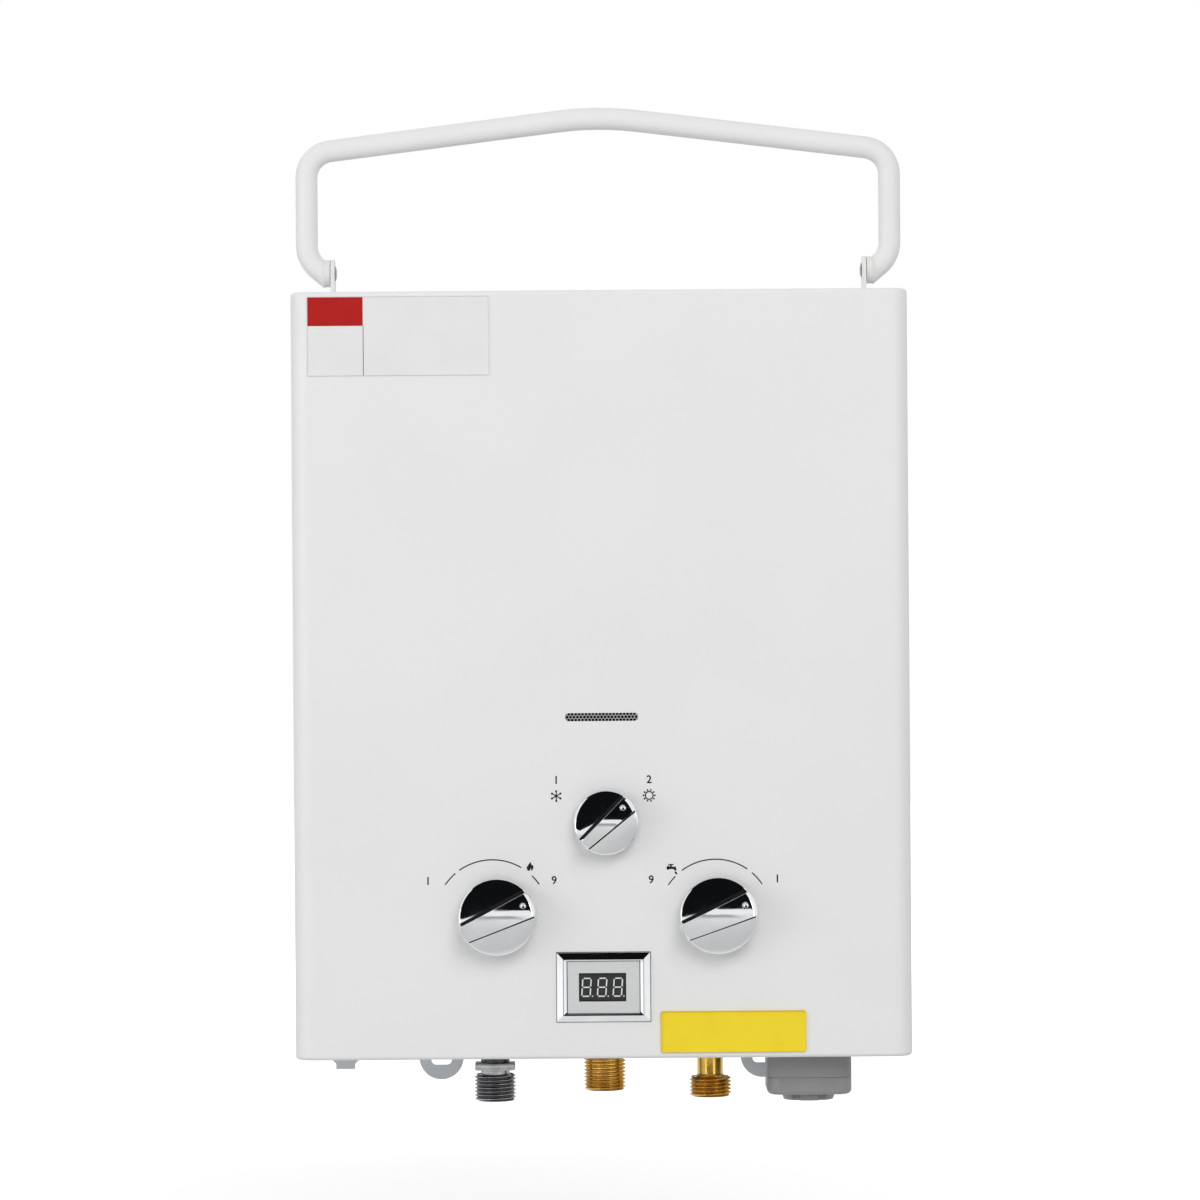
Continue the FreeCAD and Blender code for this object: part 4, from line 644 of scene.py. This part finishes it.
def rounded(piece, size, degrees, segments):
    """Bevels a piece's edges that are sharper than an angle."""
    pick(piece)
    change = piece.modifiers.new("rounded", "BEVEL")
    change.width = size
    change.segments = segments
    change.limit_method = "ANGLE"
    change.angle_limit = math.radians(degrees)
    bpy.ops.object.modifier_apply(modifier=change.name)


# Bright chrome plate over moulded plastic: mirror-like, its film clear of grain, with a breath
# of haze where hands have wiped it.
chrome = metal("bright_chrome_plate", 0.010, "E4E6E8", "ECEEF0", 0.03, 0.07)

# A painted shadow line at the bar's foot: dark and dull, standing for the shade where bar and
# base meet. It is drawn wider below the bar than above, to be seen from the front. The display's
# gaps carry the same painted shadow.
painted_line_shade, tree = empty_material("painted_shadow_line")
surface(tree, Base_Color=linear("0A0A0B"), Roughness=0.6, IOR=1.45)


def slab(columns, rows, depth):
    """A grid two metres square facing the front, thickened towards the wall, to be shaped."""
    start_piece()
    bpy.ops.mesh.primitive_grid_add(x_subdivisions=columns, y_subdivisions=rows, size=2,
                                    rotation=(math.pi / 2, 0, 0))
    made = bpy.context.object
    apply_place()
    open_mesh()
    bpy.ops.mesh.extrude_region_move(TRANSFORM_OT_translate={"value": (0, depth, 0)})
    close_solid()
    return made


def half_width(tail, pointer, share):
    """Half the bar's width at a share of its length, from -1 at the tail to 1 at the pointer."""
    return (tail + (pointer - tail) * (share + 1) / 2) / 2


grip_depth, crown, scoop_crown, back = 0.0065, 0.0027, 0.0025, 0.0008
rim_round, spindle_bore, bore_depth = 0.0010, 0.00305, 0.007
lengthwise = 0.3  # how much of the base's fall also runs along the bar
overhang = 0.0007  # how far the bar's ends stand out past the base
bar_back = 0.0058  # from the cover to the bar's hidden back
bar_chamfer = 0.0010
wall_draft = 0.0014  # how much the bar's walls spread towards the case
end_round = 0.0024  # how the bar rounds down to the knob's rim
# The painted shadow line at the bar's foot: how far it shows below and above the bar and
# stands off the base, how far it is tucked under the bar and sunk in the base, and what it
# leaves free at the rim.
shade_below, shade_above, shade_rise = 0.0010, 0.0002, 0.00008
shade_tucked, shade_sunk, shade_short = 0.0012, 0.001, 0.0007
dimple_radius, dimple_inset, dimple_lift = 0.0019, 0.0046, 0.0010
for knob, body, pointer, tail, angle in (
        ("gas_knob", "gas_control", 0.011, 0.0067, 24.5),
        ("water_knob", "water_control", 0.011, 0.0067, 22.8),
        ("season_knob", "season_control", 0.007, 0.0034, 42.5)):
    low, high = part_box(knob)
    radius = (high.x - low.x) / 2
    height = face - low.y
    centre = Vector(((low.x + high.x) / 2, face, (low.z + high.z) / 2))
    out = Vector((0, -1, 0))
    along = heading(angle)
    sideways = Vector((-along.z, 0, along.x))
    bore = [(spindle_bore, back), (spindle_bore, bore_depth), (0, bore_depth)]
    base = turned(knob + "_plated", centre, out,
                  round_block(radius, height - grip_depth, rim_round, back) + bore, 96)
    for vertex in base.data.vertices:
        if face - vertex.co.y > height / 2:
            spot = vertex.co - centre
            fall = spot.dot(sideways) ** 2 + lengthwise * spot.dot(along) ** 2
            vertex.co.y += scoop_crown * fall / radius ** 2
    # Two thin dark strips along the bar's foot: a painted shadow line.
    shade_strips = []
    for side in (-1, 1):
        shade_strip = slab(36, 1, 1)
        for vertex in shade_strip.data.vertices:
            share = math.sin(vertex.co.x * math.pi / 2)
            foot = half_width(tail, pointer, share) + wall_draft
            beyond = shade_above if side > 0 else shade_below
            width = side * (foot + (beyond if vertex.co.z * side > 0 else -shade_tucked))
            length = share * (math.sqrt(radius ** 2 - width ** 2) - shade_short)
            spot = centre + along * length + sideways * width
            hit = base.ray_cast(spot + out * 0.05, -out)[1]
            rise = (hit - spot).dot(out) + (shade_rise if vertex.co.y < 0.5 else -shade_sunk)
            vertex.co = spot + out * rise
        shade_strips.append(shade_strip)
    shade_strip = join(knob + "_bar_foot_shadow", shade_strips)
    shade_strip.data.materials.append(painted_line_shade)
    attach(shade_strip, body)
    reach = radius + overhang
    bar = slab(36, 8, height - bar_back)
    for vertex in bar.data.vertices:
        share = math.sin(vertex.co.x * math.pi / 2)
        draft = wall_draft if vertex.co.y > 0 else 0
        width = vertex.co.z * (half_width(tail, pointer, share) + draft)
        vertex.co = (share * math.sqrt(reach ** 2 - width ** 2), vertex.co.y - height, width)
    rounded(bar, bar_chamfer, 50, 1)
    for vertex in bar.data.vertices:
        if vertex.co.y < -height / 2:
            share = Vector((vertex.co.x, vertex.co.z)).length / reach
            short = min(max(0, end_round - (1 - share) * reach), end_round)
            vertex.co.y += crown * share ** 2 + end_round - math.sqrt(end_round ** 2 - short ** 2)
        across, depth, up = vertex.co
        vertex.co = centre + along * across + sideways * up + Vector((0, depth, 0))
    start_piece()
    dimple_reach = radius - dimple_inset
    dimple_place = (centre + along * dimple_reach
                    + out * (height + dimple_lift - crown * (dimple_reach / reach) ** 2))
    bpy.ops.mesh.primitive_uv_sphere_add(segments=24, ring_count=12, radius=dimple_radius,
                                         location=dimple_place)
    dimple = bpy.context.object
    apply_place()
    cut(bar, dimple)
    base = join(knob + "_plated", [base, bar])
    smooth(base)
    base.data.materials.append(chrome)
    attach(base, body)
    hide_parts(knob)


# ------------------------------------------------ display
# A plated frame pressed round a satin panel with a smoked window, behind which three numerals
# of seven strokes each show the water's temperature. The unit's place beside it is bare.

bezel_low, bezel_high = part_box("display_bezel")
panel_low, panel_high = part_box("display_panel")
bezel_middle = (bezel_low + bezel_high) / 2
bezel_edge, bevel_width, ridge_width = 0.0008, 0.0031, 0.0003
bezel = block("plated_display_frame", (bezel_middle.x, face - bezel_edge / 2, bezel_middle.z),
              (bezel_high.x - bezel_low.x, bezel_edge, bezel_high.z - bezel_low.z))
edit_where(bezel, lambda point: point.y < face - bezel_edge / 2)
bpy.ops.mesh.select_mode(type="FACE")
lip = (bezel_high.x - bezel_low.x - (panel_high.x - panel_low.x)) / 2 - bevel_width - ridge_width
for width, rise in ((bevel_width, face - bezel_edge - bezel_low.y), (ridge_width, 0),
                    (lip, panel_low.y - bezel_low.y)):
    bpy.ops.mesh.inset(thickness=width, use_even_offset=True)
    direction = 1 if width == lip else -1
    bpy.ops.transform.translate(value=(0, direction * rise, 0))
close_mesh()
through = 0.02
cut(bezel, block("opening", (panel_low + panel_high) / 2,
                 (panel_high.x - panel_low.x, through, panel_high.z - panel_low.z)))
rounded(bezel, 0.00015, 20, 2)
bezel.data.materials.append(chrome)
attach(bezel, "case")
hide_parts("display_bezel")


def rectangle_marks(low, high, level, inward, width):
    """Four strokes round the rectangle between two corners, their middles inward of its edge."""
    middle = (low + high) / 2
    half_wide = (high.x - low.x) / 2 - inward
    half_tall = (high.z - low.z) / 2 - inward
    made = []
    for side in (-1, 1):
        made.append(bar_mark(Vector((middle.x, level, middle.z + side * half_tall)),
                             2 * half_wide + width, width, 0))
        made.append(bar_mark(Vector((middle.x + side * half_wide, level, middle.z)),
                             2 * half_tall - width, width, math.pi / 2))
    return made


# The frame's painted shadow lines: the shade at its gap to the cover, at the parting of its
# inner ring, and at the gap round the panel.
frame_lines = []
gap_line, line_inset = 0.0003, 0.00015
for low, high, level, inward in (
        (bezel_low, bezel_high, face, -line_inset),
        (bezel_low, bezel_high, bezel_low.y, bevel_width + ridge_width / 2),
        (panel_low, panel_high, panel_low.y, line_inset)):
    frame_lines += rectangle_marks(low, high, level, inward, gap_line)
print_on("display_frame_shade_lines", frame_lines, painted_line_shade)

# Moulded panel with a satin silver lacquer: fine horizontal brush lines in the lacquer.
satin_silver, tree = empty_material("satin_silver_panel")
lines = streaks(tree, (60, 60, 4000))
surface(tree, Base_Color=blended(tree, lines.outputs[0], "CACBCB", "D2D3D3"), Metallic=0.0,
        Roughness=0.42, IOR=1.46)
coat(satin_silver, "display_panel")
# Smoked polycarbonate with a half-gloss hard coat, slightly cloudy.
smoked = nonmetal("smoked_window_plastic", 0.004, "202122", "262728", 0.30, 1.5)
coat(smoked, "display_window")
window_low, window_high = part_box("display_window")
window_middle = (window_low + window_high) / 2
lean = math.radians(4)
tall, wide, stroke_width, numeral_pitch = 0.0088, 0.0041, 0.0006, 0.0077
stroke_gap = 0.0009  # taken off each stroke, so that its ends stay clear
numeral_shift, point_offset, point_radius = 0.0002, 0.0012, 0.00035


def leaning(across, up):
    """A place on the window, leaned to the right as the numerals are."""
    return Vector((across + up * math.tan(lean), window_low.y, window_middle.z + up))


numerals = []
for number in (-1, 0, 1):
    middle = window_middle.x - numeral_shift + number * numeral_pitch
    for up in (-1, 0, 1):
        numerals.append(bar_mark(leaning(middle, up * tall / 2), wide - stroke_gap,
                                 stroke_width, 0))
    for side in (-1, 1):
        for up in (-1, 1):
            numerals.append(bar_mark(leaning(middle + side * wide / 2, up * tall / 4),
                                     tall / 2 - stroke_gap, stroke_width, math.pi / 2 - lean))
    numerals.append(dot_mark(leaning(middle + wide / 2 + point_offset, -tall / 2),
                             point_radius, 10))
# The display's strokes as they look through the smoked window: pale and plain.
lit = nonmetal("pale_display_stroke", 0.0008, "DCDEDE", "E4E6E6", 0.5, 1.45)
print_on("display_numerals", numerals, lit)
edge_width = 0.0006
border = rectangle_marks(window_low, window_high, window_low.y, edge_width / 2, edge_width)
print_on("display_window_border", border, screen_ink)


# ------------------------------------------------ threaded ports
# Three G1/2 ports, 20.955 mm across the thread and 1.814 mm pitch: a nickel-plated gas inlet
# with its hexagon, a brass hot outlet that rises into an elbow block, and a brass cold inlet
# on a slim neck. All are turned from bar and bored through.

thread_pitch, crest, root = 0.001814, 0.0104775, 0.0093
down = Vector((0, 0, -1))


def thread(axis_point, top, end):
    """A right-handed ridge round the port's axis, trimmed to a chamfered cylinder."""
    start_piece()
    bpy.ops.mesh.primitive_circle_add(vertices=6, radius=0.0005, fill_type="NOTHING")
    ridge = bpy.context.object
    profile = ((root - 0.0003, -0.00082), (crest - 0.0002, -0.00018), (crest, -0.00008),
               (crest, 0.00008), (crest - 0.0002, 0.00018), (root - 0.0003, 0.00082))
    for vertex, (radius, up) in zip(ridge.data.vertices, profile):
        vertex.co = (radius, 0, up)
    change = ridge.modifiers.new("helix", "SCREW")
    change.steps = change.render_steps = 40
    change.screw_offset = thread_pitch
    change.iterations = int((top - end) / thread_pitch) + 2
    bpy.ops.object.modifier_apply(modifier=change.name)
    ridge.location = (axis_point.x, axis_point.y, end - thread_pitch)
    apply_place()
    open_mesh()
    bpy.ops.mesh.fill_holes(sides=0)
    bpy.ops.mesh.normals_make_consistent(inside=False)
    close_mesh()
    length = top - end
    place = Vector((axis_point.x, axis_point.y, top))
    envelope = turned("envelope", place, down,
                      [(0, 0), (root, 0), (crest + 0.0001, 0.0010),
                       (crest + 0.0001, length - 0.0014), (root, length), (0, length)], 48)
    cut(ridge, envelope, "INTERSECT")
    return ridge


def port_material(name, first, second, shaded, low_rough, high_rough):
    """Turned metal: rings left by the tool, handling marks, and painted shade in the thread's root.
    """
    made, tree = empty_material(name)
    marks = noise(tree, 0.005)
    rings = streaks(tree, (200, 200, 6000))
    # Depth in the thread, read back to darken the root as painted shade.
    painted_shade = node(tree, "Attribute", attribute_type="GEOMETRY", attribute_name="painted_shade")
    deep = between(tree, painted_shade.outputs["Fac"], 0.0, 1.0, 0.5, 1.0)
    clean = blended(tree, marks.outputs[0], first, second)
    colour = node(tree, "Mix", {0: deep.outputs[0], 6: clean, 7: linear(shaded)},
                  data_type="RGBA")
    surface(tree, Base_Color=colour.outputs[2], Metallic=1.0,
            Roughness=between(tree, marks.outputs[0], low_rough, high_rough).outputs[0],
            Normal=bump(tree, rings.outputs[0], 0.000002).outputs[0])
    return made


# Satin nickel plate over brass, and bare brass; the third colour is painted shade in the thread
# root.
satin_nickel = port_material("satin_nickel_plate", "A2A3A4", "BEBFC0", "4A4A4B", 0.16, 0.24)
brass = port_material("turned_brass", "DCB050", "ECC86C", "96661F", 0.22, 0.30)

ports = {}
for node_name in ("gas_inlet_fitting", "hot_water_outlet", "cold_water_inlet"):
    low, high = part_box(node_name)
    half = (high.x - low.x) / 2
    ports[node_name] = (low, high, Vector(((low.x + high.x) / 2, low.y + half, 0)))
bottom = case_low.z
plate_top = bottom + 0.002  # the bottom plate's inner face


end_rise, end_chamfer = 0.0004, 0.0006  # of the chamfer round each port's end


def port_core(node_name, steps, bore):
    """Turns a port's body from its top down; steps give radius and millimetres above the edge."""
    low, high, axis = ports[node_name]
    top = Vector((axis.x, axis.y, high.z))
    end = (low.z - bottom) * 1000
    outline = [(bore, 0)]
    for radius, up in steps + [(root, end + end_rise * 1000), (root - end_chamfer, end)]:
        reach = 0 if up is None else high.z - (bottom + up / 1000)
        outline.append((radius, reach))
    outline += [(bore, high.z - low.z), (bore, 0)]
    return turned("core", top, down, outline, 48)


def finish_port(name, parts, node_name, material, ridge_top, thread_top,
                dark_above=math.inf):
    """Adds a port's thread, joins its parts, and notes for the painted shade how deep in the thread
    each point lies, or that it is up inside the case's shade."""
    low, _, axis = ports[node_name]
    made = join(name, parts + [thread(axis, ridge_top, low.z)])
    smooth(made, 35)
    # How dark the painted shade makes each point: deep in the thread, or up in the case's shade.
    painted_shade = made.data.attributes.new("painted_shade", "FLOAT", "POINT")
    for vertex in made.data.vertices:
        radius = math.hypot(vertex.co.x - axis.x, vertex.co.y - axis.y)
        threaded = vertex.co.z < thread_top and radius > root - 0.0004
        depth = (crest - radius) / (crest - root) if threaded else 0
        hidden = vertex.co.z > dark_above
        painted_shade.data[vertex.index].value = 1 if hidden else min(max(depth, 0), 1)
    give(made, material)
    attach(made, "case")
    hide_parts(node_name)


shade_edge = 0.0059  # the gas inlet is in the case's shade above this
gas_axis = ports["gas_inlet_fitting"][2]
# The two close steps at 5.8 and 6 mm down keep the edge of that shade sharp.
gas_core = port_core("gas_inlet_fitting",
                     [(0.0072, None), (0.0072, 5), (0.012, 5), (0.012, 2), (0.0072, 2),
                      (0.0072, -5.8), (0.0072, -6.0), (0.0072, -11.7), (root, -12.8)], 0.004)
start_piece()
bpy.ops.mesh.primitive_cylinder_add(vertices=6, radius=0.010 / math.cos(math.pi / 6),
                                    depth=0.0038, rotation=(0, 0, math.pi),
                                    location=(gas_axis.x, gas_axis.y, bottom - 0.0077))
hexagon = bpy.context.object
apply_place()
rounded(hexagon, 0.0004, 50, 2)
finish_port("gas_inlet", [gas_core, hexagon], "gas_inlet_fitting", satin_nickel,
            bottom - 0.0117, bottom - 0.0110, bottom - shade_edge)

neck = 0.0064
flare = [(neck + 0.0029 * (step / 5) ** 2, -12.1 - 2.3 * step / 5) for step in range(6)]
cold_core = port_core("cold_water_inlet",
                      [(0.0095, None), (0.0095, 5), (0.012, 5), (0.012, 2), (neck, 2)] + flare,
                      0.005)
finish_port("cold_inlet", [cold_core], "cold_water_inlet", brass, bottom - 0.0136,
            bottom - 0.0130)

hot_low, hot_high, hot_axis = ports["hot_water_outlet"]
block_low = plate_top + 0.004
elbow = block("elbow", ((hot_low.x + hot_high.x) / 2, (hot_low.y + hot_high.y) / 2,
                        (block_low + hot_high.z) / 2),
              (hot_high.x - hot_low.x, hot_high.y - hot_low.y, hot_high.z - block_low))
rounded(elbow, 0.003, 50, 4)
stem_top = Vector((hot_axis.x, hot_axis.y, block_low + 0.001))
stem_length = stem_top.z - hot_low.z
hot_bore = 0.0065
stem = turned("stem", stem_top, down,
              [(hot_bore, 0), (0.012, 0), (0.012, 0.005), (root, 0.005),
               (root, stem_length - end_rise), (root - end_chamfer, stem_length),
               (hot_bore, stem_length), (hot_bore, 0)], 48)
finish_port("hot_outlet", [stem, elbow], "hot_water_outlet", brass, plate_top,
            plate_top)


# ------------------------------------------------ battery box
# A box for two round cells that hangs through the bottom plate: a sleeve, a collar below it,
# parted by a fine joint, and a cap that turns in the collar. Moulded in grey plastic.

# Grey acrylonitrile plastic from a fine-sparked mould: half gloss, with a very fine grain.
grey_plastic, tree = empty_material("moulded_grey_plastic")
grain = noise(tree, 0.0007, 1.0)
shade = noise(tree, 0.02, 1.0)
surface(tree, Base_Color=blended(tree, shade.outputs[0], "8A8A8A", "909090"), Roughness=0.34,
        IOR=1.5, Normal=bump(tree, grain.outputs[0], 0.000004).outputs[0])


def copied(name, new_name):
    """A copy of a CAD piece with its loose triangles merged, to be dressed further."""
    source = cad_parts[name]
    made = bpy.data.objects.new(new_name, source.data.copy())
    bpy.context.collection.objects.link(made)
    pick(made)
    open_mesh()
    bpy.ops.mesh.remove_doubles(threshold=0.000002)
    bpy.ops.mesh.dissolve_limited(angle_limit=math.radians(0.5))
    close_mesh()
    made.data.materials.clear()
    return made


collar_low, collar_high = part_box("battery_collar")
joint_level = collar_high.z
box_middle = (collar_low + collar_high) / 2
joint_bevel = 0.00035
bay_radius = 0.0185


def on_joint(point):
    away = Vector((point.x - box_middle.x, point.y - box_middle.y)).length
    return abs(point.z - joint_level) < 0.00002 and away > bay_radius


for node_name, new_name in (("battery_housing", "battery_sleeve"),
                            ("battery_collar", "battery_lower_collar")):
    made = copied(node_name, new_name)
    edit_where(made, on_joint)
    bpy.ops.mesh.bevel(offset=joint_bevel, segments=2, affect="EDGES")
    close_mesh()
    made.data.materials.append(grey_plastic)
    smooth(made, 28)
    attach(made, "case")
    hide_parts(node_name)
coat(grey_plastic, "battery_cap")

# Two dry cells in plain shrink jackets, slate blue, glossy.
jacket = nonmetal("shrink_film_jacket", 0.006, "3A4756", "42505F", 0.28, 1.5)
coat(jacket, "batteries")


# ------------------------------------------------ back plate
# A zinc-plated steel plate, folded at its sides, that carries the works and hangs on the wall
# by its keyhole and its two lower lugs. The bottom plate is galvanised sheet.

# Bright zinc plate in wide soft clouds, and hot-dipped galvanised sheet with a finer spangle.
bright_zinc = metal("bright_zinc_plate", 0.02, "C4C8CC", "D0D4D7", 0.34, 0.46, 3.0)
galvanised = metal("galvanised_sheet", 0.006, "A2A6AA", "B4B8BB", 0.36, 0.52, 3.0)
coat(bright_zinc, "back_plate", "switch_bracket")
coat(galvanised, "bottom_plate", "flue_hood")


# ------------------------------------------------ screws and handle hardware
# Four pan-head screws hold the cover's sides, and a domed screw holds each foot of the handle
# to its ear. Nickel-plated steel; the spacers under the feet are white nylon.

# Nickel-plated steel screw heads: bright, a little scuffed by the driver.
plated_screw = metal("nickel_plated_screw", 0.001, "8E9092", "A4A6A8", 0.16, 0.30)
screw_low, screw_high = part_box("case_screws")
cover_side = case_high.x
screw_radius = (screw_high.y - screw_low.y) / 2
screw_depth = screw_low.y + screw_radius
head_height, recess_turn = 0.0022, 0.4
screws = []
for side in (-1, 1):
    for height_at in (screw_low.z + screw_radius, screw_high.z - screw_radius):
        axis = Vector((side, 0, 0))
        seat = Vector((side * cover_side, screw_depth, height_at))
        head = turned("pan_head", seat, axis,
                      [(0, head_height), (0.0016, 0.00214), (0.0029, 0.0018), (0.0037, 0.0011),
                       (screw_radius, 0.0003), (screw_radius, 0), (0.0019, 0),
                       (0.0019, -0.0055), (0.0012, -0.006), (0, -0.006)], 32)
        for turn in (0, math.pi / 2):
            cut(head, block("recess", seat + axis * head_height, (0.0022, 0.0042, 0.0009),
                            (turn + recess_turn, 0, 0)))
        screws.append(head)
case_screws = join("case_side_screws", screws)
smooth(case_screws)
give(case_screws, plated_screw)
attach(case_screws, "case")
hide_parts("case_screws")
coat(plated_screw, "solenoid_plunger", "switch_lever")

pivot_low, pivot_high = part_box("handle_screws")
pivot_middle = (pivot_low + pivot_high) / 2
ear_gauge, pin_radius = 0.002, 0.0025
head_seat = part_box("handle_bracket_right")[1].x - ear_gauge - 0.00005
pivot_screws = []
for side in (-1, 1):
    inwards = Vector((-side, 0, 0))
    seat = Vector((side * head_seat, pivot_middle.y, pivot_middle.z))
    pin_end = -(pivot_high.x - head_seat)
    pivot_screws.append(turned(
        "domed_screw", seat, inwards,
        [(0, 0.0010), (0.0014, 0.00096), (0.0024, 0.0008), (0.0032, 0.0005), (0.0037, 0.0002),
         (0.0037, 0), (pin_radius, 0), (pin_radius, pin_end), (0, pin_end)], 40))
handle_screws = join("handle_pivot_screws", pivot_screws)
smooth(handle_screws)
give(handle_screws, plated_screw)
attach(handle_screws, "handle")
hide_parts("handle_screws")

# Nylon, moulded white, slightly waxy.
nylon = nonmetal("white_nylon", 0.004, "DEDEDC", "E4E4E2", 0.45, 1.53)
coat(nylon, "handle_spacers")


# ------------------------------------------------ works inside
# What the case hides: valves, burner, exchanger, pipes, spark unit and display board. Cast
# aluminium, brass, copper, aluminised steel, ceramic, rubber and black moulded plastic.

# Sand-grey cast aluminium, drawn copper tube with its drawing marks, and the dull warm grey of
# steel dipped in aluminium.
cast_metal = metal("die_cast_aluminium", 0.003, "AEB0B2", "BCBEC0", 0.45, 0.6, 3.0)
copper = port_material("drawn_copper", "B4663E", "C2754A", "B4663E", 0.25, 0.42)
burner_metal = metal("aluminised_burner_steel", 0.005, "94918A", "A6A39B", 0.45, 0.62, 3.0)
coat(cast_metal, "gas_valve_body", "gas_riser", "burner_manifold")
coat(copper, "exchanger_coil", "cold_pipe", "hot_pipe")
# Hot-dipped copper of the chamber and its fins: the dull grey of its lead and tin coat, darkened
# further as painted shade seen through the sight holes.
chamber_coat_and_shade = metal("lead_coat_and_painted_shade", 0.01, "3A3B3D", "48494A", 0.5, 0.65, 3.0)
coat(chamber_coat_and_shade, "exchanger_chamber", "exchanger_fins")
coat(burner_metal, "burner_frame", *[f"burner_bar_{number}" for number in range(1, 7)])
coat(brass, "water_valve_body", "diaphragm_cover", "push_rod", "gas_spindle", "water_spindle",
     "season_spindle")
# Black glass-filled nylon of the coil, switch, thermostat, board and spark unit's case.
black_plastic = nonmetal("moulded_black_plastic", 0.0008, "252628", "2B2C2E", 0.5, 1.5, 1.0)
coat(black_plastic, "solenoid_coil", "rod_switch", "overheat_thermostat", "display_board",
     "spark_controller")
# Nitrile rubber diaphragm: black, dull, dusted with talc.
rubber = nonmetal("nitrile_rubber", 0.003, "1D1D1F", "29292B", 0.75, 1.52)
coat(rubber, "diaphragm")
# Unglazed alumina of the spark electrode and the flame sensor: chalky white.
ceramic = nonmetal("unglazed_alumina", 0.002, "E8E6DF", "F0EEE7", 0.7, 1.6)
coat(ceramic, "spark_electrode", "flame_sensor")


# ------------------------------------------------ finish
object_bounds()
